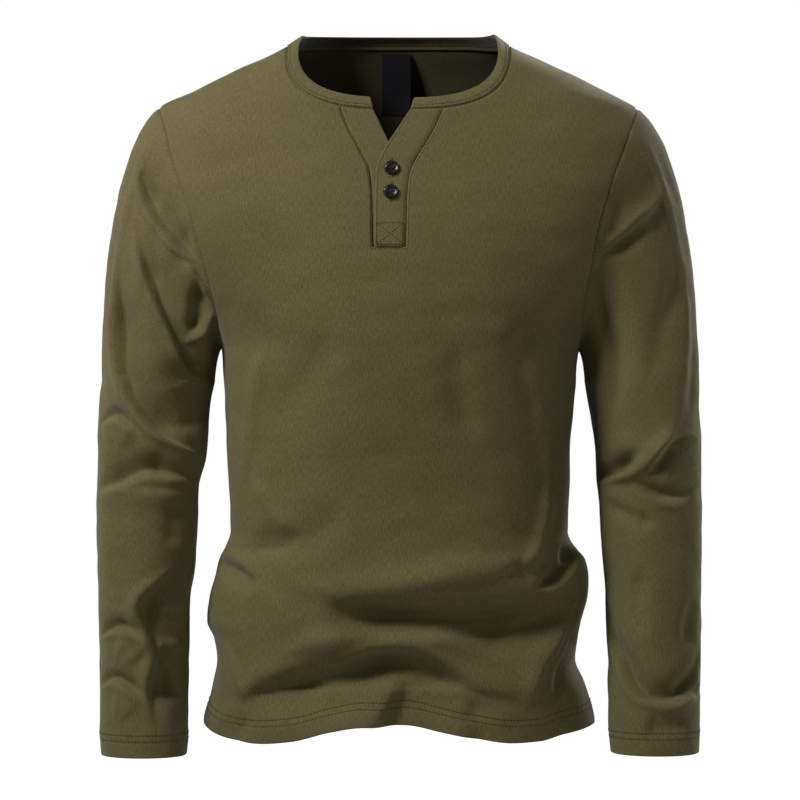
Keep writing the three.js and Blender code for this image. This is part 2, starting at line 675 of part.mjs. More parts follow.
// The turn and row at which a sleeve's form is seen at x, z from the front or the back.
const SEEK = { turns: 24, halvings: 14 };
function seeker(form, face) {
  const [low, high] = face === "front" ? [0, 0.5] : [0.5, 1];
  return (x, z) => {
    const miss = (turn, row) => {
      const at = form(turn, row);
      return Math.hypot(at.x - x, at.z - z);
    };
    let best = [low, 0];
    let least = Infinity;
    const offer = (turn, row) => {
      if (turn < low || turn > high || row < 0 || row > SLEEVE_ROWS) return;
      const d = miss(turn, row);
      if (d < least) [least, best] = [d, [turn, row]];
    };
    for (let i = 0; i <= SEEK.turns; i++)
      for (let row = 0; row <= SLEEVE_ROWS; row++) offer(mix(low, high, i / SEEK.turns), row);
    for (let k = 0; k < SEEK.halvings; k++) {
      const [turn, row] = best;
      const step = 0.6 ** k;
      for (const du of [-1, 0, 1])
        for (const dv of [-1, 0, 1]) offer(turn + (du * step) / (2 * SEEK.turns), row + dv * step * 0.5);
    }
    return best;
  };
}

const STEP = { turn: 0.004, row: 0.05 };
const FADE_IN_ROWS = 1.6;
function sleeve(name) {
  const side = name === "right" ? -1 : 1;
  const { form, seamNormals } = sleeveForm(name);
  const folds = ["front", "back"].flatMap((face) => {
    const seek = seeker(form, face);
    return SLEEVE_FOLDS[name][face].map((line) => laidFold(form, seek, line));
  });
  const folded = (turn, row) => {
    const at = form(turn, Math.max(0, row));
    const normal = facing(form, turn, Math.max(row, STEP.row), STEP.turn, STEP.row, -side);
    return at.addScaledVector(normal, push(folds, at, normal) * ease(row / FADE_IN_ROWS));
  };
  const around = 2 * UPPER_ROWS;
  const grid = [];
  for (let row = 0; row <= SLEEVE_ROWS; row++) {
    const thick = SLEEVE_ROWS - row < CUFF_STEPS.length - 1 ? TURNED : CLOTH;
    const ring = [];
    for (let i = 0; i < around; i++) {
      const turn = i / around;
      const normal =
        row === 0
          ? seamNormals[(i * LOOP_SAMPLES) / around]
          : facing(folded, turn, row, STEP.turn, STEP.row, -side);
      ring.push({ point: folded(turn, row), normal, thick });
    }
    grid.push(ring);
  }
  return wall(grid, { closed: true });
}

// The turns of a placket's columns along the neck seam.
function placketTurns(fromEdge, toEdge) {
  const [from, to] = [placketTrack[fromEdge](0), placketTrack[toEdge](0)];
  const columns = [...Array(PLACKET_GRID.columns + 1).keys()];
  return columns.map((i) => neckTurn(mix(from, to, i / PLACKET_GRID.columns)));
}

// The neckband stands on the neck seam and leans in toward the neck.
function neckband() {
  const seamPoint = (turn) => {
    const { angle, z } = neckSeam(turn);
    return body(angle, z);
  };
  const at = (turn, height) => {
    const { angle, z } = neckSeam(turn);
    const run = seamPoint(turn + 0.5).sub(seamPoint(turn - 0.5));
    const out = bodyFacing(angle, z).cross(run).normalize();
    const s = Math.sin(radians(turn));
    const c = Math.cos(radians(turn));
    const face = c > 0 ? "front" : "back";
    const rise = mix(BAND_LEAN.rise.side, BAND_LEAN.rise[face], c * c);
    const lean = new THREE.Vector3(-BAND_LEAN.in * s, BAND_LEAN[face] * c, rise);
    const foot = seamPoint(turn).addScaledVector(out, SEAM);
    const knee = foot.clone().addScaledVector(out, BAND.height * BAND.bend);
    const tip = knee.clone().addScaledVector(lean.normalize(), BAND.height * (1 - BAND.bend));
    return new THREE.QuadraticBezierCurve3(foot, knee, tip).getPoint(height);
  };
  const whole = (turns) => turns.map((turn) => turn + 360);
  const turns = [
    ...placketTurns("overEdge", "overSeam").slice(0, -1),
    ...panelTurns(1, "front").reverse(),
    ...panelTurns(1, "back").slice(1),
    ...whole(panelTurns(-1, "back").reverse()).slice(1),
    ...whole(panelTurns(-1, "front")).slice(1),
    ...whole(placketTurns("underSeam", "underEdge")).slice(1),
  ];
  const [first, last] = [turns[0], turns[turns.length - 1]];
  const grid = [];
  for (let row = 0; row <= BAND.rows; row++) {
    const height = row / BAND.rows;
    const inside = clamp(height, 0.02, 0.98);
    grid.push(
      turns.map((turn) => ({
        point: at(turn, height),
        normal: facing(at, clamp(turn, first + 0.5, last - 0.5), inside, 0.5, 0.02, 1),
        thick: DOUBLE,
      })),
    );
  }
  return wall(grid);
}

// A placket from its seam to its free edge, lying just over or under the panel's surface.
function placketPoint(x, z, step) {
  const angle = frontAngle(x, z);
  const normal = bodyFacing(angle, z);
  return { point: body(angle, z).addScaledVector(normal, step), normal, thick: DOUBLE };
}

function placket(fromEdge, toEdge, gaps, step) {
  const grid = [];
  for (let row = 0; row <= PLACKET_GRID.rows; row++) {
    const line = [];
    for (let i = 0; i <= PLACKET_GRID.columns; i++) {
      const share = i / PLACKET_GRID.columns;
      const xAt = (z) => {
        const from = placketTrack[fromEdge](z) + gaps[0];
        const to = placketTrack[toEdge](z) - gaps[1];
        return mix(from, to, share);
      };
      let top = -NECK.drop;
      for (let k = 0; k < 4; k++) top = neckZ(xAt(top));
      const z = mix(PLACKET_Z + SEAM, top, row / PLACKET_GRID.rows);
      line.push(placketPoint(xAt(z), z, step));
    }
    grid.push(line);
  }
  return wall(grid);
}

// Cuts and joins of closed solids.
const wasm = await Module();
wasm.setup();

function asSolid(geometry) {
  const flat = geometry.index ? geometry.toNonIndexed() : geometry;
  const p = flat.attributes.position;
  const keys = new Map();
  const points = [];
  const faces = [];
  for (let i = 0; i < p.count; i++) {
    const at = [p.getX(i), p.getY(i), p.getZ(i)];
    const key = at.map((v) => Math.round(v * 1e3)).join(" ");
    if (!keys.has(key)) {
      keys.set(key, keys.size);
      points.push(...at);
    }
    faces.push(keys.get(key));
  }
  const kept = [];
  for (let i = 0; i < faces.length; i += 3) {
    const [a, b, c] = faces.slice(i, i + 3);
    if (a !== b && b !== c && a !== c) kept.push(a, b, c);
  }
  const mesh = { numProp: 3, vertProperties: new Float32Array(points), triVerts: new Uint32Array(kept) };
  return new wasm.Manifold(new wasm.Mesh(mesh));
}

function asGeometry(solid) {
  const mesh = solid.getMesh();
  const geometry = new THREE.BufferGeometry();
  geometry.setAttribute("position", new THREE.BufferAttribute(new Float32Array(mesh.vertProperties), 3));
  geometry.setIndex(new THREE.BufferAttribute(new Uint32Array(mesh.triVerts), 1));
  geometry.computeVertexNormals();
  return geometry;
}

// A dished round button with four holes; its axis is Y and its back lies at y = 0.
function buttonShape() {
  const { radius, thick, rim, dish, hole, spread } = BUTTON;
  const { back, front, ramp, sides, holeSides } = BUTTON_EDGE;
  const profile = [
    [0, 0],
    [radius - back, 0],
    [radius, back],
    [radius, thick - front],
    [radius - front, thick],
    [radius - rim, thick],
    [radius - rim - ramp, thick - dish],
    [0, thick - dish],
  ].map(([x, y]) => new THREE.Vector2(x, y));
  let solid = asSolid(new THREE.LatheGeometry(profile, sides));
  for (const [x, z] of [[1, 1], [1, -1], [-1, 1], [-1, -1]]) {
    const drill = new THREE.CylinderGeometry(hole, hole, 3 * thick, holeSides);
    drill.translate(x * spread, thick / 2, z * spread);
    solid = solid.subtract(asSolid(drill));
  }
  return asGeometry(solid);
}

function button(x, z) {
  const { point, normal } = placketPoint(x, z, PLACKET_STEP + DOUBLE / 2 + BUTTON.gap);
  const geometry = buttonShape();
  const turn = new THREE.Quaternion().setFromUnitVectors(new THREE.Vector3(0, 1, 0), normal);
  return geometry.applyQuaternion(turn).translate(point.x, point.y, point.z);
}

// The neck label hangs inside the back, in front of the back panel.
function neckLabel() {
  const panel = body(Math.PI - frontAngle(LABEL.left, LABEL.top), LABEL.top);
  const yTop = panel.y - CLOTH / 2 - SEAM - LABEL.thick / 2;
  const grid = [];
  for (let row = 0; row <= LABEL.rows; row++) {
    const t = row / LABEL.rows;
    const z = mix(LABEL.bottom, LABEL.top, t);
    const y = yTop - LABEL.swing * (1 - t);
    const normal = new THREE.Vector3(0, -1, 0);
    const end = (x) => ({ point: new THREE.Vector3(x, y, z), normal, thick: LABEL.thick });
    grid.push([end(LABEL.left), end(LABEL.right)]);
  }
  return wall(grid);
}

// The shirt
const shirt = new THREE.Group();
shirt.name = "henley_shirt";
function add(name, geometry, color, roughness) {
  const mesh = new THREE.Mesh(geometry, new THREE.MeshStandardMaterial({ color, roughness }));
  mesh.name = name;
  shirt.add(mesh);
}

add("front", frontPanel(), OLIVE, 0.9);
add("back", backPanel(), OLIVE, 0.9);
add("sleeve_right", sleeve("right"), OLIVE, 0.9);
add("sleeve_left", sleeve("left"), OLIVE, 0.9);
add("neckband", neckband(), OLIVE, 0.9);
add("placket_under", placket("underSeam", "underEdge", [SEAM, 0], -PLACKET_STEP), OLIVE, 0.9);
add("placket_over", placket("overEdge", "overSeam", [0, SEAM], PLACKET_STEP), OLIVE, 0.9);
add("button_upper", button(-8.3, -130.5), BLACK, 0.3);
add("button_lower", button(-8.9, -154.7), BLACK, 0.3);
add("neck_label", neckLabel(), BLACK, 0.7);

export default shirt;
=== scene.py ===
import math

import bpy
import numpy as np
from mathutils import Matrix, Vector


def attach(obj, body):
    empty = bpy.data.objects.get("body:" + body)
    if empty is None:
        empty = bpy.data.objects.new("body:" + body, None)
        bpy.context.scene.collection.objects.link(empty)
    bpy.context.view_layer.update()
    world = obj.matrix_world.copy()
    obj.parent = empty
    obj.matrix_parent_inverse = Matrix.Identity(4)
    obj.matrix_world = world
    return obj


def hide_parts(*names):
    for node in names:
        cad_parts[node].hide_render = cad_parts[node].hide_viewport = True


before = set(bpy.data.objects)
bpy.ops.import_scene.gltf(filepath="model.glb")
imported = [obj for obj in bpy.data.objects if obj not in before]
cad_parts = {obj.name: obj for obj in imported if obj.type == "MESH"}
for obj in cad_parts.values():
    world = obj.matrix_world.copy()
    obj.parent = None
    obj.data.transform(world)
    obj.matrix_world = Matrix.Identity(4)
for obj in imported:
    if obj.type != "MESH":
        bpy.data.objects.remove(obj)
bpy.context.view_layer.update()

# Forms are worked out in millimetres and scaled as the meshes are made.
MM = 0.001

# Cloth
KNIT = 1.3  # thickness of one layer of knit
TURNED_OUT = 0.35  # how far the turned-up hem and cuffs stand out
HEM_TURNED_IN = 0.8  # and how far they stand in
CUFF_TURNED_IN = 0.7
TURNED_ABOVE = 1.5  # turned-up cloth above the upper row of stitches
BAND_THICK = 2.3
PLACKET_THICK = 1.7
PLACKET_WIDTH = 31
PLACKET_SEAM_LIFT = 0.15  # the over placket off the panel, at its seam and at its free edge
PLACKET_EDGE_LIFT = 1.25
SEAM_DIP = 1.5  # cloth sinks this far along a seam
SEAM_DIP_WIDTH = 1.9

# Heights, roundness and neck seam of the body, as in the part's source
ARMPIT_Z = -308
SHOULDER_Z = -62
PLACKET_Z = -209
ROUND = 2.35
NECK_CENTRE = -2
NECK_HALF = 113
NECK_DROP = 71
NECK_POWER = 3
NECK_BACK_RISE = 6
BAND_HEIGHT = 15
BAND_BEND = 0.4
BAND_SIDE = 0.4  # how much taller the band stands over the shoulders
BAND_SLANT = 5.5  # how far its two ends lean back from the opening

# Sleeves
SLEEVE_ROUND = 2.1
CAP_Z = -340
CAP_PULL = 0.7
ARMPIT_LEAN = 0.6
BACK_ARMHOLE = 6
CUFF_Z = {"right": -715, "left": -713}
SIDE = {"right": -1, "left": 1}

# Stitching
HEM_LINES = (17.2, 23.2)  # heights of the twin needle rows above the hem
CUFF_LINES = (16.5, 22.5)
BAND_LINES = (2.2, 5.6)
STITCH = 2.3
STITCH_GAP = 1.1
THREAD = 0.36
NEEDLE_SINK = 0.35  # how far a row of stitches draws the cloth in
SEAM_STITCH_ASIDE = 1.8  # topstitching beside the seams of the placket
EDGE_STITCH_ASIDE = 2.2
STITCH_BOX = {"top": -185.3, "bottom": -206.6, "left": -23.0, "right": 3.4}
STITCH_BOX_Z = -195  # where the box takes its distance from the placket's seam

BUTTONS = {"button_upper": (-8.3, -130.5), "button_lower": (-8.9, -154.7)}
BUTTON_RADIUS = 7.5
BUTTON_BACK = 6.9  # radius of its flat back
BUTTON_FACE = 2.1  # height of the dished middle
BUTTON_RIM = 0.9  # the rim stands this much higher
BUTTON_RIM_AT = 6.0
HOLE_SPREAD = 1.5
HOLE_DEPTH = 1.5
BUTTONHOLE_HALF = 10
BUTTONHOLE_ASIDE = 0.9
LABEL = {"left": -19.8, "right": 11.4, "top": 1.5, "bottom": -63.6}
LABEL_OFF_BACK = 1.6
LABEL_SWING = 2.5
LABEL_HALF_THICK = 0.35


# Studio, in metres and watts: place, aim, width and height, power
LIGHTS = {
    "key": ((-1.3, -1.07, 1.05), (0, 0, -0.3), (0.55, 0.55), 44),
    "fill": ((2.2, -2.4, 0.3), (0, 0, -0.4), (1.2, 1.6), 12),
    "side fill": ((2.8, 0.5, 0.8), (0, 0, -0.35), (1.2, 1.2), 22),
    "back key": ((1.7, 2.3, 1.5), (0, 0, -0.35), (0.9, 0.9), 80),
    "back fill": ((-2.4, 1.9, 0.2), (0, 0, -0.4), (1.2, 1.6), 24),
}
CAMERA_PLACE = (0, -3.2, -0.359)
CAMERA_LENS = 141.2
WORLD_STRENGTH = 0.03
FLOOR_Z = -1150  # in millimetres, as the shirt is
FLOOR_HALF = 12000


def table(names, rows):
    """Columns by name, from rows of numbers."""
    return {name: np.array([row[i] for row in rows], float) for i, name in enumerate(names.split())}


def mix(a, b, t):
    return a + (b - a) * t


def ease(t):
    k = np.clip(t, 0, 1)
    return k * k * (3 - 2 * k)


def power(value, exponent):
    return np.sign(value) * np.abs(value) ** exponent


def unit(v):
    return v / np.maximum(np.linalg.norm(v, axis=-1, keepdims=True), 1e-12)


def stack(x, y, z):
    return np.stack(np.broadcast_arrays(x, y, z), axis=-1).astype(float)


def run_lengths(points):
    """Distance of each point of a run from its first one."""
    return np.concatenate([[0], np.cumsum(np.linalg.norm(np.diff(points, axis=0), axis=1))])


def track(rows, key, column):
    """A smooth curve with no overshoot through one column of a table."""
    at, value = rows[key], rows[column]
    chord = np.diff(value) / np.diff(at)
    before = np.concatenate([chord[:1], chord])
    after = np.concatenate([chord, chord[-1:]])
    both = before * after
    slope = np.where(both > 0, 2 * both / np.where(both > 0, before + after, 1), 0)

    def curve(place):
        k = np.clip(place, at[0], at[-1])
        i = np.clip(np.searchsorted(at, k, side="right") - 1, 0, len(at) - 2)
        span = at[i + 1] - at[i]
        t = (k - at[i]) / span
        start = (1 + 2 * t) * (1 - t) ** 2 * value[i] + t * (1 - t) ** 2 * span * slope[i]
        end = t * t * (3 - 2 * t) * value[i + 1] + t * t * (t - 1) * span * slope[i + 1]
        return start + end

    return curve


# Sections of the body: half widths on the wearer's right and left, reach to the front and back.
BODY = table("z right left front back", [
    (-712, 200, 197, 101, 102),
    (-684, 200, 196, 104, 104),
    (-660, 194, 191, 107, 106),
    (-645, 190, 186, 110, 106),
    (-622, 186, 177.5, 110, 106),
    (-599, 189, 179.5, 110, 105),
    (-583, 196, 183, 108, 104),
    (-560, 193.5, 189, 108, 102),
    (-538, 188, 190.5, 108, 100),
    (-522, 184, 187, 107, 99),
    (-507, 176.5, 174.5, 106, 98),
    (-492, 171.5, 169.5, 106, 97),
    (-446, 173.5, 172.5, 107, 98),
    (-400, 175.5, 173.5, 111, 102),
    (-354, 177.5, 177.5, 117, 108),
    (-323, 179.5, 178.5, 121, 113),
    (-308, 181, 180, 122, 115),
    (-285, 190.5, 189.5, 124, 117),
    (-260, 204, 202.5, 124, 118),
    (-230, 223, 221, 123, 119),
    (-199, 243, 240.5, 120.5, 118),
    (-165, 259, 256, 116, 116),
    (-130, 268, 265, 108, 112),
    (-100, 268, 265, 100, 105.5),
    (-80, 260, 257, 93, 101),
    (-62, 244, 241, 87, 96),
    (-43, 204.5, 204, 80, 90),
    (-24, 166, 164, 74, 84),
    (-12, 138, 137, 70, 79),
    (0, 115, 111, 66, 74),
    (12, 99, 97, 60, 70),
])

# The armhole seams as seen from the front.
ARMHOLE = table("z right left", [
    (-308, 181, 180),
    (-279, 182.5, 182.5),
    (-249, 188, 187),
    (-225, 194, 190.5),
    (-203, 200, 194),
    (-181, 206, 198.5),
    (-159, 214, 205),
    (-133, 224, 213),
    (-113, 230, 221),
    (-93, 234.5, 228.5),
    (-62, 244, 241),
])

# The hem's lower edge round the body, 0 degrees at the centre front and 90 at the wearer's left.
HEM = table("angle z", [
    (-90, -684),
    (-41, -701),
    (-29, -698),
    (-16.6, -688),
    (-7, -682),
    (0, -682),
    (8.6, -688),
    (19, -695),
    (31.6, -699.5),
    (41.5, -698.5),
    (53, -693),
    (90, -687),
    (135, -692),
    (180, -690),
    (225, -692),
    (270, -684),
])

# The two plackets: x of each one's seam to the front panel and of its free edge.
PLACKET = table("z under_seam under_edge over_edge over_seam", [
    (-209, -27, 2, -25.2, 5.9),
    (-161, -28, 2, -24.8, 7),
    (-143, -29.2, 2, -24.3, 8.3),
    (-129, -31.6, 1, -23.2, 12),
    (-113, -39.5, -6, -16.6, 20.9),
    (-103, -44.6, -11, -11, 27),
    (-93, -50, -15.8, -4.3, 32.6),
    (-71, -59.5, -26.2, 9.9, 42.6),
])

# Rings of the sleeves: inner and outer reach from the middle, reach to the front and back.
SLEEVE = {
    "right": table("z inner outer front back", [
        (-719, 215.5, 298, 87, 0),
        (-690, 213, 301, 85, 4),
        (-629, 211.5, 302, 80, 15),
        (-568, 211, 305, 75, 26),
        (-507, 207, 306, 70, 37),
        (-446, 204, 307, 67, 45),
        (-415, 197, 307, 66, 50),
        (-370, 194.5, 306, 66, 56),
        (-340, 188.5, 303.5, 66, 58),
    ]),
    "left": table("z inner outer front back", [
        (-719, 213.5, 299.5, 87, 0),
        (-690, 211.5, 300.5, 85, 4),
        (-629, 209.5, 302.5, 80, 15),
        (-568, 208, 303.5, 75, 26),
        (-507, 205, 305, 70, 37),
        (-446, 201.5, 305, 67, 45),
        (-415, 200, 306, 66, 50),
        (-370, 194, 304, 66, 56),
        (-340, 188.5, 303, 66, 58),
    ]),
}

# Folds: name, depth out of the cloth, width on the left and on the right of its run, the share of
# its depth that stands up as a lip on the steeper side, and its marks (x, z) as seen from the front.
FRONT_FOLDS = [
    ("waist pull right", -5, 20, 15, 0, [
        (-172, -512), (-136, -508), (-99, -500), (-72, -481), (-52, -452),
    ]),
    ("waist pull mark", -3, 12, 6, 0.2, [(-156, -507), (-128, -505), (-98, -497)]),
    ("waist crease right", -7, 5, 13, 0.3, [(-184, -519), (-168, -527), (-152, -537), (-138, -548)]),
    ("waist crease fall", 5, 6, 20, 0, [(-160, -530), (-130, -552), (-108, -575), (-84, -602)]),
    ("waist step", -19, 13, 42, 0, [(-78, -562), (-24, -571), (42, -577), (105, -578), (182, -568)]),
    ("waist step edge", -5, 7, 20, 0.2, [(-70, -559), (-14, -568), (44, -570), (96, -566), (156, -556)]),
    ("waist underside", -8, 20, 18, 0, [(26, -577), (99, -574), (154, -566), (188, -552)]),
    ("waist tail", -6, 6, 14, 0.2, [(56, -587), (112, -589), (158, -579), (184, -564)]),
    ("belly swell", 8, 15, 15, 0, [(-122, -539), (-54, -546), (0, -540), (69, -529), (143, -515)]),
    ("hip arch", -18, 13, 40, 0, [
        (-172, -672), (-140, -653), (-104, -640), (-62, -630), (-15, -624), (22, -628), (54, -642),
        (86, -655), (140, -662),
    ]),
    ("hip arch edge", -9, 6, 20, 0.3, [
        (-84, -634), (-45, -621), (-12, -613), (18, -616), (46, -629), (74, -645),
    ]),
    ("hip arch fall", -7, 9, 18, 0.2, [(-156, -657), (-132, -647), (-104, -641), (-66, -641)]),
    ("hip swell", 7, 12, 12, 0, [(-128, -617), (-79, -598), (-15, -590), (39, -598), (99, -617)]),
    ("hip shelf", 4, 11, 11, 0, [(0, -590), (69, -590), (158, -584)]),
    ("waist pull left", -9, 9, 11, 0, [(97, -531), (128, -527), (154, -519), (171, -503)]),
    ("side pocket left", -12, 5, 9, 0.3, [(180, -493), (171, -517), (156, -538), (132, -546)]),
    ("hip ridge right", 5, 6, 9, 0, [(-178, -596), (-162, -631), (-148, -667)]),
    ("hip ridge left", 7, 7, 14, 0, [(181, -556), (160, -594), (139, -625), (122, -669)]),
    ("hip crease left", -5, 8, 5, 0, [(185, -576), (172, -606), (158, -635), (150, -667)]),
    ("hem ridge", 7, 12, 30, 0, [(4, -630), (-8, -644), (-20, -662), (-29, -690), (-31, -720)]),
    ("hem hollow", -8, 44, 14, 0, [(28, -628), (14, -648), (2, -668), (-4, -690), (-5, -720)]),
    ("hem ripple left", -4, 12, 12, 0, [(69, -655), (77, -673), (79, -692), (80, -715)]),
    ("hem ripple right", -4, 9, 16, 0, [(-150, -668), (-160, -690), (-166, -712)]),
    ("flank ridge right", 4, 10, 12, 0, [(-136, -297), (-141, -334), (-149, -389), (-156, -448)]),
    ("flank ridge left", 4, 12, 9, 0, [(125, -300), (135, -349), (145, -408), (151, -463)]),
    ("flank trough left", -4, 16, 16, 0, [(116, -270), (126, -329), (136, -389)]),
    ("chest drape right", -3, 18, 18, 0, [(-59, -260), (-84, -326), (-113, -364), (-136, -389)]),
    ("chest drape left", -3, 16, 16, 0, [(59, -297), (59, -359), (76, -408)]),
    ("armpit drape right", -3, 16, 20, 0, [(-184, -262), (-152, -284), (-112, -320)]),
    ("armpit drape left", -3, 20, 16, 0, [(184, -262), (152, -282), (114, -312)]),
    ("waist drape left", 6, 12, 8, 0, [(146, -428), (139, -495), (104, -540)]),
    ("waist drape right", 3, 9, 12, 0, [(-150, -430), (-128, -469), (-93, -492)]),
]

BACK_FOLDS = [
    ("small of the back", -9, 18, 12, 0, [(-158, -520), (-60, -548), (40, -542), (156, -515)]),
    ("back tuck", -5, 8, 6, 0, [(-70, -572), (-10, -580), (60, -572)]),
    ("seat trough", -10, 20, 12, 0, [(-130, -592), (-20, -614), (90, -602), (164, -575)]),
    ("waist pull right", -5, 12, 9, 0, [(-168, -468), (-110, -492), (-60, -500)]),
    ("waist pull left", -5, 9, 12, 0, [(168, -480), (120, -502), (60, -512)]),
    ("seat drape", -4, 11, 11, 0, [(-60, -668), (-50, -632), (-20, -604)]),
    ("seat drape left", -4, 9, 12, 0, [(70, -672), (82, -640), (118, -612)]),
    ("hip ridge right", 5, 7, 9, 0, [(-170, -600), (-140, -636), (-120, -676)]),
    ("spine", -3, 28, 28, 0, [(0, -80), (0, -200), (0, -330)]),
    ("blade drape right", -4, 14, 14, 0, [(-150, -330), (-120, -400), (-90, -450)]),
    ("blade drape left", -4, 14, 14, 0, [(150, -320), (125, -390), (95, -445)]),
    ("armpit drape right", -4, 10, 12, 0, [(-184, -262), (-150, -292), (-112, -330)]),
    ("armpit drape left", -4, 12, 10, 0, [(184, -258), (148, -286), (116, -326)]),
]

